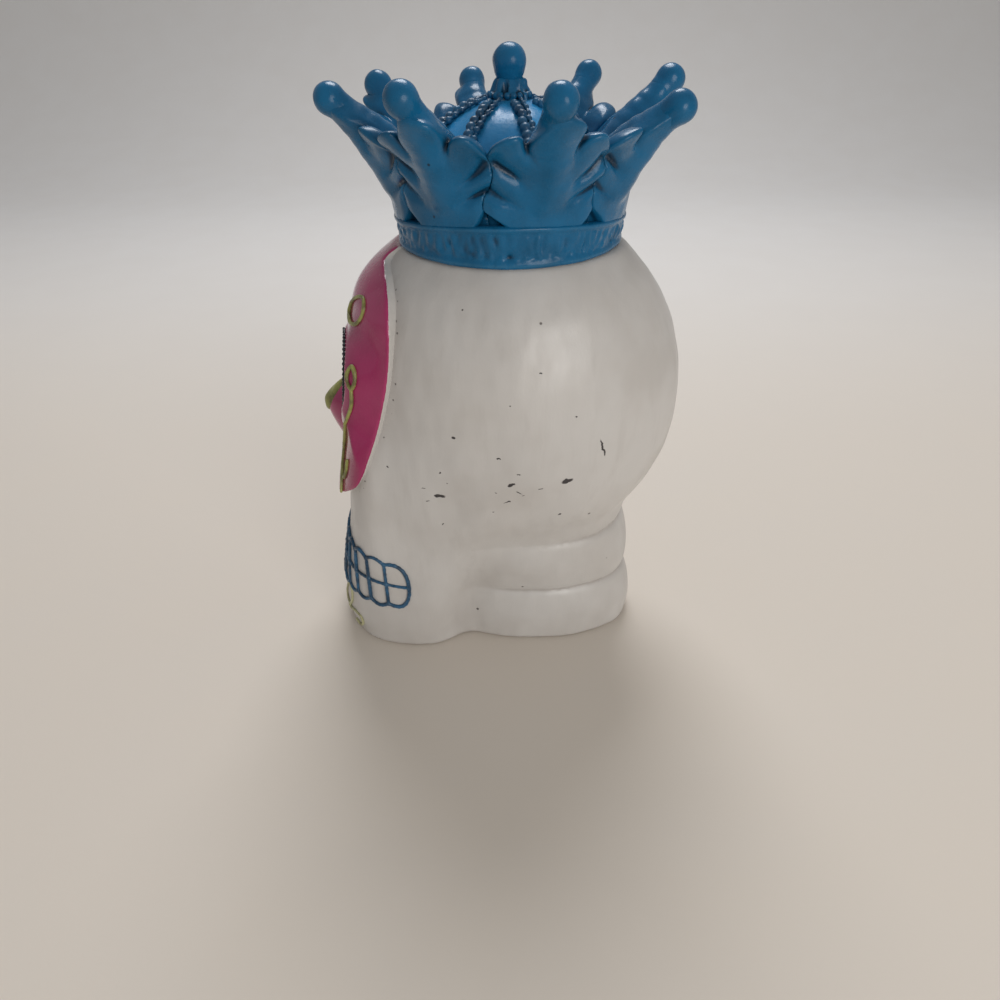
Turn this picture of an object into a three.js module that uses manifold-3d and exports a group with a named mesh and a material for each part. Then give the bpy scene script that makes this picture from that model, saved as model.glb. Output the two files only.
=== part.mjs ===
// Crowned sugar skull, a hand-painted resin ornament.
// Millimetres, +Z up. The origin lies on the foot, under the axis of the crown. The face looks along -Y.
import * as THREE from 'three';
import { mergeVertices } from 'three/addons/utils/BufferGeometryUtils.js';
import Module from 'manifold-3d';

// Clearance between pieces that touch
const FIT = 0.3;

// Skull: cranium, an egg around the crown axis
const CRANIUM_WIDTH = 70;
const CRANIUM_LENGTH = 84.9;
const CRANIUM_HEIGHT = 93.2;
const CRANIUM_Y = 0.75;
const CRANIUM_Z = 73;
// Height of the flat top that carries the crown, and of the ball that rounds the skull out to it
const CROWN_SEAT_Z = 109.8;
const SHOULDER_Z = 85;
const SHOULDER_BLEND = 3;
const SEAT_INSET = 1.2;
// Skull: jaw, an oval block. Rows of height, front and rear edge forward of the axis, half width
const JAW_ROWS = [
  [0, 49.3, 12.6, 26.0],
  [8, 50.4, 13.2, 27.8],
  [22, 48.6, 10.2, 28.2],
  [36, 45.4, 5.0, 28.6],
  [52, 42.5, -4.0, 29.0],
  [68, 35.4, -4.0, 24.0],
  [84, 32.0, 10.0, 9.0],
];
const JAW_MID_Y = -31;
const JAW_FRONT_ROUND = 2.1;
const JAW_REAR_ROUND = 4.5;
const JAW_BLEND = 12;
// Skull: cheekbones, one egg on each side. Place beside, before and above the origin, half sizes
const CHEEK_X = 13;
const CHEEK_Y = -27.5;
const CHEEK_Z = 77;
const CHEEK_HALF = [12, 12, 15];
const CHEEK_BLEND = 4;
// Skull: neck with two soft rolls
const NECK_WIDTH = 40.6;
const NECK_BACK = 36;
const NECK_LEAN = 0.1;
const NECK_FLARE = 3.5;
const NECK_ROUND = 2.15;
const NECK_FRONT = 22;
const NECK_TOP = 46;
const ROLL_HEIGHT = 18;
const ROLL_DEPTH = 1.3;

// Mask: raised plaque. Rows of height, thickness
const MASK_LIFT_ROWS = [
  [43, 3.6],
  [60, 2.2],
  [90, 2.2],
  [101, 3.2],
  [CROWN_SEAT_Z, 0.9],
];
// Mask: rows of height, rear edge forward of the axis in the side view
const MASK_EDGE_ROWS = [
  [43, 54.0],
  [48.5, 44.5],
  [53, 38.6],
  [57, 34.6],
  [65, 31.0],
  [75, 27.6],
  [85, 25.0],
  [94, 24.0],
  [101, 24.3],
  [104.6, 25.8],
  [107.2, 28.2],
  [108.8, 28.0],
  [111, 25.0],
];

// Eyes: oval openings in flat rims that face a little outwards and up, each with a ring of beads
const EYE_X = 12.6;
const EYE_Z = 78.7;
const EYE_HALF_WIDTH = 9;
const EYE_HALF_HEIGHT = 10.6;
const EYE_TURN = 16.8;
const EYE_TILT = 7.3;
const EYE_RIM_WIDTH = 1.6;
const EYE_RIM_SUNK = 2.35;
const EYE_RIM_DEPTH = 10;
const SOCKET_DEPTH = 8;
const EYE_BEAD_RADIUS = 0.45;
const EYE_BEADS = 22;
const EYE_BEAD_WAIST = 0.6;

// Nose
const NOSE_Z = 62;
const NOSE_HALF_WIDTH = 6;
const NOSE_HALF_HEIGHT = 9.2;
const NOSE_RISE = 6.4;
const NOSE_TIP_LIFT = 2.5;
const NOSE_POINT = 1.5;
const NOSE_CAP_THICKNESS = 0.9;
const NOSE_CAP_HALF_WIDTH = 3.4;
const NOSE_CAP_HALF_HEIGHT = 5.2;
const NOSE_CAP_Z = 67.5;

// Scrolls: piped curves on the mask and the chin. Rows of distance round from the front, height
const PIPING_RADIUS = 0.45;
const WRAP_RADIUS = 30;
const BROW_LOOP = [
  [25.2, 100.2],
  [15.6, 97.2],
  [14.2, 94.6],
  [18.4, 93.4],
  [23.7, 94.2],
  [26.4, 96.4],
  [27.1, 98.6],
];
const VINE_FORK = [27.4, 80.5];
const VINE_DROP = [
  [26.6, 85.6],
  [25.4, 83.4],
  [25.9, 81.6],
  VINE_FORK,
  [28.4, 82.6],
  [27.8, 84.9],
];
const VINE_STEM = [
  VINE_FORK,
  [27.5, 76.9],
  [26.4, 73.5],
  [24.6, 69.2],
  [22.4, 64.4],
  [21.8, 59.4],
  [23.8, 55.8],
  [25.4, 58.0],
  [26.0, 61.6],
];
const CHIN_DROP = [
  [18.4, 15.2],
  [16.2, 11.6],
  [16.5, 8.0],
  [18.6, 9.2],
  [19.4, 12.4],
];
const CHIN_HOOK = [
  [16.7, 8.0],
  [18.5, 6.6],
  [22.0, 8.2],
  [23.8, 6.2],
  [22.2, 2.8],
  [19.9, 2.8],
];

// Teeth: piped lines on the jaw, in two rows
const TOOTH_COLUMNS = 7;
const TOOTH_PITCH = 5.2;
const END_TOOTH_LENGTH = 6.3;
const TEETH_Z = 25.4;
const TEETH_HEIGHT = 13.8;
const TOOTH_SCALLOP = 1.2;
const END_ROUND = 0.92;
const BAR_SCALE = 0.9;

// Crown: band
const BAND_RADIUS = 26.1;
const BAND_FLARE = 0.8;
const BAND_HEIGHT = 6.1;
const BAND_INNER_RADIUS = 21;
const BAND_LIP = 0.4;
// Crown: profile of the band. Rows of share of its height, share of the lip
const BAND_ROWS = [
  [0, 0],
  [0.14, 1],
  [0.28, 0],
  [0.55, 0],
  [0.8, 0],
  [0.86, 1],
  [1, 0.5],
];
const FRIEZE_ROW = 3;
const FRIEZE_BOSSES = 18;
const FRIEZE_DEPTH = 0.35;
// Crown: leaves. Rows of height above the band, outer radius
const LEAF_ROWS = [
  [0, 26.7],
  [6, 27.8],
  [11, 29.6],
  [15, 32.0],
  [18, 34.6],
];
const LEAF_NOTCH_HEIGHT = 17;
const LEAF_WALL = 3.6;
const FINGER_RELIEF = 1.2;
// Crown: fingers of one half leaf. Root angle and height, tip angle and height, half width
const FINGER_ROWS = [
  [4.0, 4.0, 17.0, 19.4, 4.4],
  [4.0, 2.5, 21.5, 13.0, 4.0],
  [5.0, -0.5, 22.5, 7.4, 3.3],
];
const STEM_HALF_WIDTH = 6.4;
const STEM_ROOT_HEIGHT = -5;
const STEM_TIP_HEIGHT = 20;
const FINGER_CROWN = 1.9;
const FINGER_BACK = 2.8;
// Crown: arms and pearls
const PEARL_RADIUS = 3.2;
const PEARL_RING_RADIUS = 37.8;
const PEARL_HEIGHT = 25.4;
// Crown: how each hand-set arm differs. Reach outwards, lift
const POINT_ROWS = [
  [0.6, -1.0],
  [0, 0.9],
  [0, 0.9],
  [0.5, -2.4],
  [0, 1.2],
  [0, 0.8],
  [0, -0.5],
  [-1.8, 0],
];
const POINTS = POINT_ROWS.length;
const ARM_ROOT_HEIGHT = 8;
const ARM_KNEE_HEIGHT = 16;
const ARM_HALF_WIDTH = 5.6;
const ARM_HALF_DEPTH = 3.3;
const ARM_TIP_SCALE = 0.48;
// Crown: cap, arches and finial. The cap fits inside the flats of the wall behind the leaves
const CAP_RADIUS = (LEAF_ROWS[0][1] - LEAF_WALL) * Math.cos(Math.PI / POINTS / 2) - FIT;
const CAP_CENTRE_HEIGHT = 7.2;
const ARCH_WIDTH = 2.6;
const ARCH_THICKNESS = 0.7;
const ARCH_BEAD = 0.7;
const ARCH_BEADS = 9;
const ARCH_FOOT_ANGLE = 20;
const COLLAR_RADIUS = 5;
const COLLAR_STEP = 0.7;
const COLLAR_STEP_HEIGHT = 0.8;
const COLLAR_TOP_RADIUS = 3;
const COLLAR_HEIGHT = 3.4;
const COLLAR_SKIRT = 1;
const FINIAL_RADIUS = 3.6;
const FINIAL_SEAT_RADIUS = 2.6;

// Facets
const SKULL_SIDES = 32;
const SKULL_LEVELS = 17;
const NECK_SIDES = 24;
const PIPE_SIDES = 4;

const paint = (color, roughness) => new THREE.MeshStandardMaterial({ color, roughness, metalness: 0 });
const WHITE = paint(0xdcd8d3, 0.45);
const BLUE = paint(0x3a729c, 0.3);
const MAGENTA = paint(0x9a3560, 0.25);
const GREEN = paint(0x9aa24a, 0.4);
const PALE_GREEN = paint(0xb5b48c, 0.45);
const NAVY = paint(0x14161f, 0.35);
const TEAL = paint(0x385b72, 0.35);

const wasm = await Module();
wasm.setup();

// A closed geometry as a solid that can be joined and cut
function solid(geometry) {
  const bare = new THREE.BufferGeometry();
  bare.setAttribute('position', geometry.getAttribute('position').clone());
  bare.setIndex(geometry.getIndex());
  const merged = mergeVertices(bare, 1e-4);
  const vertProperties = new Float32Array(merged.getAttribute('position').array);
  const triVerts = new Uint32Array(merged.getIndex().array);
  return new wasm.Manifold(new wasm.Mesh({ numProp: 3, vertProperties, triVerts }));
}

function geometryOf(body) {
  const { vertProperties, triVerts } = body.getMesh();
  const geometry = new THREE.BufferGeometry();
  geometry.setAttribute('position', new THREE.BufferAttribute(new Float32Array(vertProperties), 3));
  geometry.setIndex(new THREE.BufferAttribute(new Uint32Array(triVerts), 1));
  geometry.computeVertexNormals();
  return geometry;
}

function piece(name, body, material) {
  const geometry = body.isBufferGeometry ? body : geometryOf(body);
  const mesh = new THREE.Mesh(geometry, material);
  mesh.name = name;
  return mesh;
}

// A skin over rings of points, each ring counter-clockwise about the way it advances
function loft(rings, closed = false) {
  const sides = rings[0].length;
  const points = rings.flat();
  const faces = [];
  const bands = closed ? rings.length : rings.length - 1;
  for (let i = 0; i < bands; i += 1) {
    const low = i * sides;
    const high = ((i + 1) % rings.length) * sides;
    for (let j = 0; j < sides; j += 1) {
      const next = (j + 1) % sides;
      faces.push(low + j, low + next, high + next, low + j, high + next, high + j);
    }
  }
  if (!closed) {
    const last = (rings.length - 1) * sides;
    const foot = points.length;
    const head = foot + 1;
    points.push(centroid(rings[0]), centroid(rings[rings.length - 1]));
    for (let j = 0; j < sides; j += 1) {
      const next = (j + 1) % sides;
      faces.push(foot, next, j, head, last + j, last + next);
    }
  }
  const geometry = new THREE.BufferGeometry().setFromPoints(points);
  geometry.setIndex(faces);
  geometry.computeVertexNormals();
  return geometry;
}

function centroid(points) {
  const sum = points.reduce((total, point) => total.add(point), new THREE.Vector3());
  return sum.divideScalar(points.length);
}

// Smooth curve through rows of [key, value, ...], read at one key
function along(rows, key, column) {
  const last = rows.length - 2;
  const found = rows.findIndex((row, i) => i <= last && key < rows[i + 1][0]);
  const i = found < 0 ? last : found;
  const slope = (k) => {
    const a = rows[Math.max(k - 1, 0)];
    const b = rows[Math.min(k + 1, rows.length - 1)];
    return (b[column] - a[column]) / (b[0] - a[0]);
  };
  const span = rows[i + 1][0] - rows[i][0];
  const t = THREE.MathUtils.clamp((key - rows[i][0]) / span, 0, 1);
  const rise = rows[i + 1][column] - rows[i][column];
  const ease = t * t * (3 - 2 * t);
  const bend = t * (1 - t) * ((1 - t) * slope(i) - t * slope(i + 1)) * span;
  return rows[i][column] + rise * ease + bend;
}

// Union of two distances with a rounded valley
function blend(a, b, width) {
  const h = THREE.MathUtils.clamp(0.5 + (0.5 * (b - a)) / width, 0, 1);
  return THREE.MathUtils.lerp(b, a, h) - width * h * (1 - h);
}

// Distance to an egg with three half axes
function eggDistance(x, y, z, a, b, c) {
  const k0 = Math.hypot(x / a, y / b, z / c);
  const k1 = Math.hypot(x / a ** 2, y / b ** 2, z / c ** 2);
  return k1 > 0 ? (k0 * (k0 - 1)) / k1 : -Math.min(a, b, c);
}

// Distance to an oval with its own roundness, at least as far as the box round it
function ovalDistance(x, y, halfX, halfY, round) {
  const overX = Math.abs(x) - halfX;
  const overY = Math.abs(y) - halfY;
  const box = Math.hypot(Math.max(overX, 0), Math.max(overY, 0)) + Math.min(Math.max(overX, overY), 0);
  const u = Math.abs(x) / halfX;
  const v = Math.abs(y) / halfY;
  const q = (u ** round + v ** round) ** (1 / round);
  const slope = Math.hypot(u ** (round - 1) / halfX, v ** (round - 1) / halfY);
  const near = slope > 0 ? ((q - 1) * q ** (round - 1)) / slope : -Math.min(halfX, halfY);
  return Math.max(near, box);
}

function jawDistance(x, y, z) {
  const dy = y - JAW_MID_Y;
  const front = along(JAW_ROWS, z, 1) + JAW_MID_Y;
  const rear = -along(JAW_ROWS, z, 2) - JAW_MID_Y;
  const half = along(JAW_ROWS, z, 3);
  const above = Math.max(0, z - JAW_ROWS[JAW_ROWS.length - 1][0]);
  const reach = dy < 0 ? front : rear;
  const round = dy < 0 ? JAW_FRONT_ROUND : JAW_REAR_ROUND;
  return ovalDistance(x, dy, half, reach, round) + above;
}

// Distance to the head without its neck
const SHOULDER_RADIUS = Math.hypot(BAND_RADIUS - SEAT_INSET, CROWN_SEAT_Z - SHOULDER_Z);
function headDistance(x, y, z) {
  const rise = z - CRANIUM_Z;
  const halves = [CRANIUM_WIDTH / 2, CRANIUM_LENGTH / 2, CRANIUM_HEIGHT / 2];
  const cranium = eggDistance(x, y - CRANIUM_Y, rise, ...halves);
  const shoulder = Math.hypot(x, y, z - SHOULDER_Z) - SHOULDER_RADIUS;
  const dome = blend(cranium, shoulder, SHOULDER_BLEND);
  const cheek = eggDistance(Math.abs(x) - CHEEK_X, y - CHEEK_Y, z - CHEEK_Z, ...CHEEK_HALF);
  return blend(blend(dome, jawDistance(x, y, z), JAW_BLEND), cheek, CHEEK_BLEND);
}

// Point at a given lift above the head, on a line from inside it
const REACH = 80;
function castToHead(origin, direction, lift) {
  let near = 0;
  let far = REACH;
  const point = new THREE.Vector3();
  for (let i = 0; i < 40; i += 1) {
    const middle = (near + far) / 2;
    point.copy(direction).multiplyScalar(middle).add(origin);
    if (headDistance(point.x, point.y, point.z) < lift) near = middle;
    else far = middle;
  }
  return point.copy(direction).multiplyScalar(near).add(origin);
}

function headNormal(p) {
  const step = 0.05;
  const slope = (dx, dy, dz) =>
    headDistance(p.x + dx, p.y + dy, p.z + dz) - headDistance(p.x - dx, p.y - dy, p.z - dz);
  return new THREE.Vector3(slope(step, 0, 0), slope(0, step, 0), slope(0, 0, step)).normalize();
}

// Point on the front of the head at a given x and z
function onFace(x, z, lift) {
  const position = castToHead(new THREE.Vector3(x, JAW_MID_Y / 2, z), new THREE.Vector3(0, -1, 0), lift);
  return { position, normal: headNormal(position) };
}

// The line inside the head from which its levels are measured
const SPINE_BACK = 5;
const SPINE_FOOT_Y = JAW_MID_Y + SPINE_BACK;
function spineY(z) {
  return SPINE_FOOT_Y * (1 - THREE.MathUtils.smoothstep(z, CRANIUM_Z / 3, CRANIUM_Z));
}

function headLoft(liftAt) {
  const rings = [];
  for (let i = 0; i <= SKULL_LEVELS; i += 1) {
    const z = (CROWN_SEAT_Z * i) / SKULL_LEVELS;
    const origin = new THREE.Vector3(0, spineY(z), z);
    const ring = [];
    for (let j = 0; j < SKULL_SIDES; j += 1) {
      const angle = ((j + 0.5) / SKULL_SIDES) * 2 * Math.PI;
      ring.push(castToHead(origin, new THREE.Vector3(Math.cos(angle), Math.sin(angle), 0), liftAt(z)));
    }
    rings.push(ring);
  }
  return loft(rings);
}

function neckLoft() {
  const levelsPerRoll = 4;
  const levels = Math.round((NECK_TOP / ROLL_HEIGHT) * levelsPerRoll);
  const rings = [];
  for (let i = 0; i <= levels; i += 1) {
    const z = (NECK_TOP * i) / levels;
    const roll = ROLL_DEPTH * Math.abs(Math.sin((Math.PI * z) / ROLL_HEIGHT));
    const flare = NECK_FLARE * THREE.MathUtils.smoothstep(z, ROLL_HEIGHT, 2 * ROLL_HEIGHT);
    const half = NECK_WIDTH / 2 - ROLL_DEPTH / 2 + flare + roll;
    const back = NECK_BACK - ROLL_DEPTH / 2 - NECK_LEAN * z + roll;
    const ring = [];
    for (let j = 0; j < NECK_SIDES; j += 1) {
      const angle = ((j + 0.5) / NECK_SIDES) * 2 * Math.PI;
      const c = Math.cos(angle);
      const s = Math.sin(angle);
      const length = s > 0 ? back : NECK_FRONT;
      const spread = (Math.abs(c) ** NECK_ROUND + Math.abs(s) ** NECK_ROUND) ** (-1 / NECK_ROUND);
      ring.push(new THREE.Vector3(half * c * spread, length * s * spread, z));
    }
    rings.push(ring);
  }
  return loft(rings);
}

// A round line laid along points that carry a normal, with its own radius at each point
function pipe(places, radiusAt, closed = false, sides = PIPE_SIDES) {
  const rings = places.map(({ position, normal }, i) => {
    const count = places.length;
    const before = places[closed ? (i + count - 1) % count : Math.max(i - 1, 0)].position;
    const after = places[closed ? (i + 1) % count : Math.min(i + 1, count - 1)].position;
    const tangent = after.clone().sub(before).normalize();
    const across = tangent.clone().cross(normal).normalize();
    const up = across.clone().cross(tangent);
    const radius = radiusAt(i);
    return Array.from({ length: sides }, (_, k) => {
      const angle = ((k + 0.5) / sides) * 2 * Math.PI;
      return position
        .clone()
        .addScaledVector(up, radius * Math.cos(angle))
        .addScaledVector(across, radius * Math.sin(angle));
    });
  });
  return loft(rings, closed);
}

// How far the mask stands above the head
const maskLift = (z) => along(MASK_LIFT_ROWS, z, 1);

// An oval bar along its own z, from back to front
function ovalBar(halfWidth, halfHeight, back, front, segments) {
  const shape = new THREE.Shape();
  shape.absellipse(0, 0, halfWidth, halfHeight, 0, 2 * Math.PI);
  const depth = front - back;
  const bar = new THREE.ExtrudeGeometry(shape, { depth, bevelEnabled: false, curveSegments: segments });
  return bar.translate(0, 0, back);
}

// The frame of one eye: across, up, and out of the flat rim
function eyeFrame(side) {
  const turn = new THREE.Matrix4().makeRotationZ(side * THREE.MathUtils.degToRad(EYE_TURN));
  const tilt = new THREE.Matrix4().makeRotationX(Math.PI / 2 - THREE.MathUtils.degToRad(EYE_TILT));
  const { position } = onFace(side * EYE_X, EYE_Z, maskLift(EYE_Z) - EYE_RIM_SUNK);
  return turn.multiply(tilt).setPosition(position);
}

// A bar along the axis of one eye that reaches a given width round its opening
function eyeBar(side, rim, back, front) {
  const bar = ovalBar(EYE_HALF_WIDTH + rim, EYE_HALF_HEIGHT + rim, back, front, 12);
  return solid(bar.applyMatrix4(eyeFrame(side)));
}

const skinSolid = solid(headLoft(() => 0));
const maskSeatSolid = solid(headLoft(() => FIT));
const maskSkinSolid = solid(headLoft(maskLift));
const maskTopSolid = solid(headLoft((z) => maskLift(z) + FIT));

function skullCasting() {
  let body = skinSolid.add(solid(neckLoft()));
  for (const side of [-1, 1]) {
    const { position } = onFace(side * EYE_X, EYE_Z, 0);
    const socket = new THREE.SphereGeometry(1, 16, 10);
    socket.scale(EYE_HALF_WIDTH, SOCKET_DEPTH, EYE_HALF_HEIGHT);
    socket.translate(position.x, position.y, position.z);
    body = body.subtract(solid(socket)).subtract(eyeBar(side, EYE_RIM_WIDTH, 0, EYE_RIM_DEPTH));
  }
  return piece('skull_casting', body, WHITE);
}

// All that lies in front of the rear edge of the mask
function maskRegion() {
  const edge = MASK_EDGE_ROWS.map(([z, forward]) => new THREE.Vector2(forward, z));
  const shape = new THREE.Shape();
  shape.moveTo(REACH, edge[0].y);
  shape.lineTo(edge[0].x, edge[0].y);
  shape.splineThru(edge.slice(1));
  shape.lineTo(REACH, edge[edge.length - 1].y);
  const options = { depth: 2 * REACH, bevelEnabled: false, curveSegments: 2 };
  const geometry = new THREE.ExtrudeGeometry(shape, options);
  geometry.translate(0, 0, -REACH);
  const forward = new THREE.Vector3(0, -1, 0);
  const up = new THREE.Vector3(0, 0, 1);
  geometry.applyMatrix4(new THREE.Matrix4().makeBasis(forward, up, forward.clone().cross(up)));
  return solid(geometry);
}

function maskPanel() {
  let body = maskSkinSolid.intersect(maskRegion());
  for (const side of [-1, 1]) {
    const rim = eyeBar(side, EYE_RIM_WIDTH, -EYE_RIM_DEPTH, 0);
    const recess = eyeBar(side, EYE_RIM_WIDTH, 0, EYE_RIM_DEPTH);
    const opening = eyeBar(side, 0, -REACH / 2, REACH / 2);
    body = body.add(rim).subtract(recess).subtract(opening);
  }
  return piece('mask_panel', body.subtract(maskSeatSolid), MAGENTA);
}

function eyeRing(name, side) {
  const frame = eyeFrame(side);
  const normal = new THREE.Vector3().setFromMatrixColumn(frame, 2);
  const halfWidth = EYE_HALF_WIDTH + EYE_RIM_WIDTH / 2;
  const halfHeight = EYE_HALF_HEIGHT + EYE_RIM_WIDTH / 2;
  const lift = FIT + EYE_BEAD_RADIUS;
  const count = EYE_BEADS * 2;
  const places = Array.from({ length: count }, (_, i) => {
    const angle = (i / count) * 2 * Math.PI;
    const spot = new THREE.Vector3(halfWidth * Math.cos(angle), halfHeight * Math.sin(angle), lift);
    return { position: spot.applyMatrix4(frame), normal };
  });
  const body = pipe(places, (i) => (i % 2 === 0 ? 1 : EYE_BEAD_WAIST) * EYE_BEAD_RADIUS, true);
  return piece(name, body, NAVY);
}

// The nose is a rounded cone, its base cut to the mask
function noseCone(extra) {
  const steps = 6;
  const profile = Array.from({ length: steps + 1 }, (_, i) => {
    const r = i / steps;
    return new THREE.Vector2(r, 1 - r ** NOSE_POINT);
  });
  profile.push(new THREE.Vector2(1, -1), new THREE.Vector2(0, -1));
  const cone = new THREE.LatheGeometry(profile.reverse(), 14);
  const base = onFace(0, NOSE_Z, maskLift(NOSE_Z)).position;
  const across = new THREE.Vector3(NOSE_HALF_WIDTH + extra, 0, 0);
  const forward = new THREE.Vector3(0, -NOSE_RISE - extra, NOSE_TIP_LIFT);
  const down = new THREE.Vector3(0, 0, -NOSE_HALF_HEIGHT - extra);
  const matrix = new THREE.Matrix4().makeBasis(across, forward, down);
  return solid(cone.applyMatrix4(matrix.setPosition(0, base.y, NOSE_Z)));
}

function noseBoss() {
  return piece('nose_boss', noseCone(0).subtract(maskTopSolid), MAGENTA);
}

function noseCap() {
  const bar = ovalBar(NOSE_CAP_HALF_WIDTH, NOSE_CAP_HALF_HEIGHT, 0, REACH, 6);
  bar.rotateX(Math.PI / 2).translate(0, 0, NOSE_CAP_Z);
  const skin = noseCone(FIT + NOSE_CAP_THICKNESS).subtract(noseCone(FIT)).subtract(maskTopSolid);
  return piece('nose_cap', skin.intersect(solid(bar)), GREEN);
}

// Places along the jaw, by distance round it from the middle of the chin
const JAW_SWEEP = 0.75 * Math.PI;
function jawPlaces(z, lift) {
  const steps = 96;
  const origin = new THREE.Vector3(0, JAW_MID_Y, z);
  const table = [];
  let length = 0;
  for (let i = 0; i <= steps; i += 1) {
    const angle = (i / steps) * JAW_SWEEP;
    const position = castToHead(origin, new THREE.Vector3(Math.sin(angle), -Math.cos(angle), 0), lift);
    if (i > 0) length += position.distanceTo(table[i - 1].position);
    table.push({ angle, length, position });
  }
  return table;
}

const toothLine = jawPlaces(TEETH_Z, 0);
function onJaw(distance, z, lift) {
  const wanted = Math.abs(distance);
  const i = Math.max(1, toothLine.findIndex((entry) => entry.length >= wanted));
  const a = toothLine[i - 1];
  const b = toothLine[i];
  const t = (wanted - a.length) / (b.length - a.length);
  const angle = Math.sign(distance) * THREE.MathUtils.lerp(a.angle, b.angle, t);
  const origin = new THREE.Vector3(0, JAW_MID_Y, z);
  const position = castToHead(origin, new THREE.Vector3(Math.sin(angle), -Math.cos(angle), 0), lift);
  return { position, normal: headNormal(position) };
}

function pipeOnJaw(stations, radius, sides, closed = false) {
  const places = stations.map(([distance, z]) => onJaw(distance, z, FIT + radius));
  return solid(pipe(places, () => radius, closed, sides));
}

// Both rows of teeth: a scalloped outline with a rounded end on each side, bars and a middle line
function teethPiping() {
  const endReach = TOOTH_COLUMNS * TOOTH_PITCH;
  const reach = endReach + END_TOOTH_LENGTH;
  const stepsPerTooth = 2;
  const edge = (distance) => {
    const arch = Math.abs(Math.sin((Math.PI * distance) / TOOTH_PITCH));
    return TEETH_HEIGHT / 2 + TOOTH_SCALLOP * arch;
  };
  const outline = [];
  const count = 2 * TOOTH_COLUMNS * stepsPerTooth;
  const endSteps = 7;
  const row = (side) => {
    for (let i = 0; i <= count; i += 1) {
      const distance = side * (endReach - (2 * endReach * i) / count);
      outline.push([distance, TEETH_Z + side * edge(distance)]);
    }
    for (let i = 1; i < endSteps; i += 1) {
      const angle = (Math.PI * i) / endSteps;
      const distance = endReach + END_TOOTH_LENGTH * Math.sin(angle) ** END_ROUND;
      const rise = Math.cos(angle);
      const height = (TEETH_HEIGHT / 2) * Math.sign(rise) * Math.abs(rise) ** END_ROUND;
      outline.push([-side * distance, TEETH_Z + side * (height + TOOTH_SCALLOP * Math.sin(2 * angle))]);
    }
  };
  row(1);
  row(-1);
  let body = pipeOnJaw(outline, PIPING_RADIUS, PIPE_SIDES, true);
  for (let k = -TOOTH_COLUMNS; k <= TOOTH_COLUMNS; k += 1) {
    const distance = k * TOOTH_PITCH;
    const bar = [-1, 1].map((end) => [distance, TEETH_Z + (end * TEETH_HEIGHT) / 2]);
    body = body.add(pipeOnJaw(bar, PIPING_RADIUS * BAR_SCALE, 3));
  }
  const middle = [];
  const middleSteps = 2 * TOOTH_COLUMNS + 1;
  for (let i = 0; i <= middleSteps; i += 1) {
    middle.push([reach * ((2 * i) / middleSteps - 1), TEETH_Z]);
  }
  body = body.add(pipeOnJaw(middle, PIPING_RADIUS * BAR_SCALE ** 2, 3));
  return piece('teeth_piping', body, TEAL);
}

// Point on the front half of the head, by distance round from the front and height
function onHead(around, z, lift) {
  const turn = around / WRAP_RADIUS;
  const origin = new THREE.Vector3(0, JAW_MID_Y / 2, z);
  const position = castToHead(origin, new THREE.Vector3(Math.sin(turn), -Math.cos(turn), 0), lift);
  return { position, normal: headNormal(position) };
}

// A piped curve on the head, mirrored for the right side
function scroll(points, side, seatAt, closed, steps) {
  const corners = points.map(([around, z]) => new THREE.Vector3(side * around, 0, z));
  const stations = new THREE.CatmullRomCurve3(corners, closed).getSpacedPoints(steps);
  if (closed) stations.pop();
  const places = stations.map(({ x, z }) => onHead(x, z, seatAt(z) + FIT + PIPING_RADIUS));
  return solid(pipe(places, () => PIPING_RADIUS, closed));
}

// A leaning teardrop above the eye
function browScroll(name, side) {
  return piece(name, scroll(BROW_LOOP, side, maskLift, true, 16), GREEN);
}

// A vine that hangs from a teardrop beside the eye and curls under the cheek
function cheekVine(name, side) {
  const drop = scroll(VINE_DROP, side, maskLift, true, 12);
  return piece(name, drop.add(scroll(VINE_STEM, side, maskLift, false, 16)), GREEN);
}

// A drop and a hook on the chin
function chinScroll(name, side) {
  const bare = () => 0;
  const drop = scroll(CHIN_DROP, side, bare, true, 10);
  return piece(name, drop.add(scroll(CHIN_HOOK, side, bare, false, 11)), PALE_GREEN);
}

// Heights of the crown
const BAND_Z = CROWN_SEAT_Z + FIT;
const BAND_TOP_Z = BAND_Z + BAND_HEIGHT;
const LEAF_Z = BAND_TOP_Z + FIT;
const CAP_CENTRE_Z = BAND_Z + CAP_CENTRE_HEIGHT;

// The band carries two lips and a frieze of bosses between them
function crownBand() {
  const sides = FRIEZE_BOSSES * 2;
  const ringAt = (radiusOf, z) =>
    Array.from({ length: sides }, (_, j) => {
      const angle = (j / sides) * 2 * Math.PI;
      const radius = radiusOf(j);
      return new THREE.Vector3(radius * Math.cos(angle), radius * Math.sin(angle), z);
    });
  const rings = BAND_ROWS.map(([share, lip], i) => {
    const radius = BAND_RADIUS + BAND_FLARE * share + BAND_LIP * (lip - 1);
    const boss = (j) => (i === FRIEZE_ROW && j % 2 === 0 ? FRIEZE_DEPTH : 0);
    return ringAt((j) => radius + boss(j), BAND_Z + BAND_HEIGHT * share);
  });
  rings.push(ringAt(() => BAND_INNER_RADIUS, BAND_TOP_Z));
  rings.push(ringAt(() => BAND_INNER_RADIUS, BAND_Z));
  return piece('crown_band', loft(rings, true), BLUE);
}

const leafRadius = (height) => along(LEAF_ROWS, height, 1);

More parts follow.
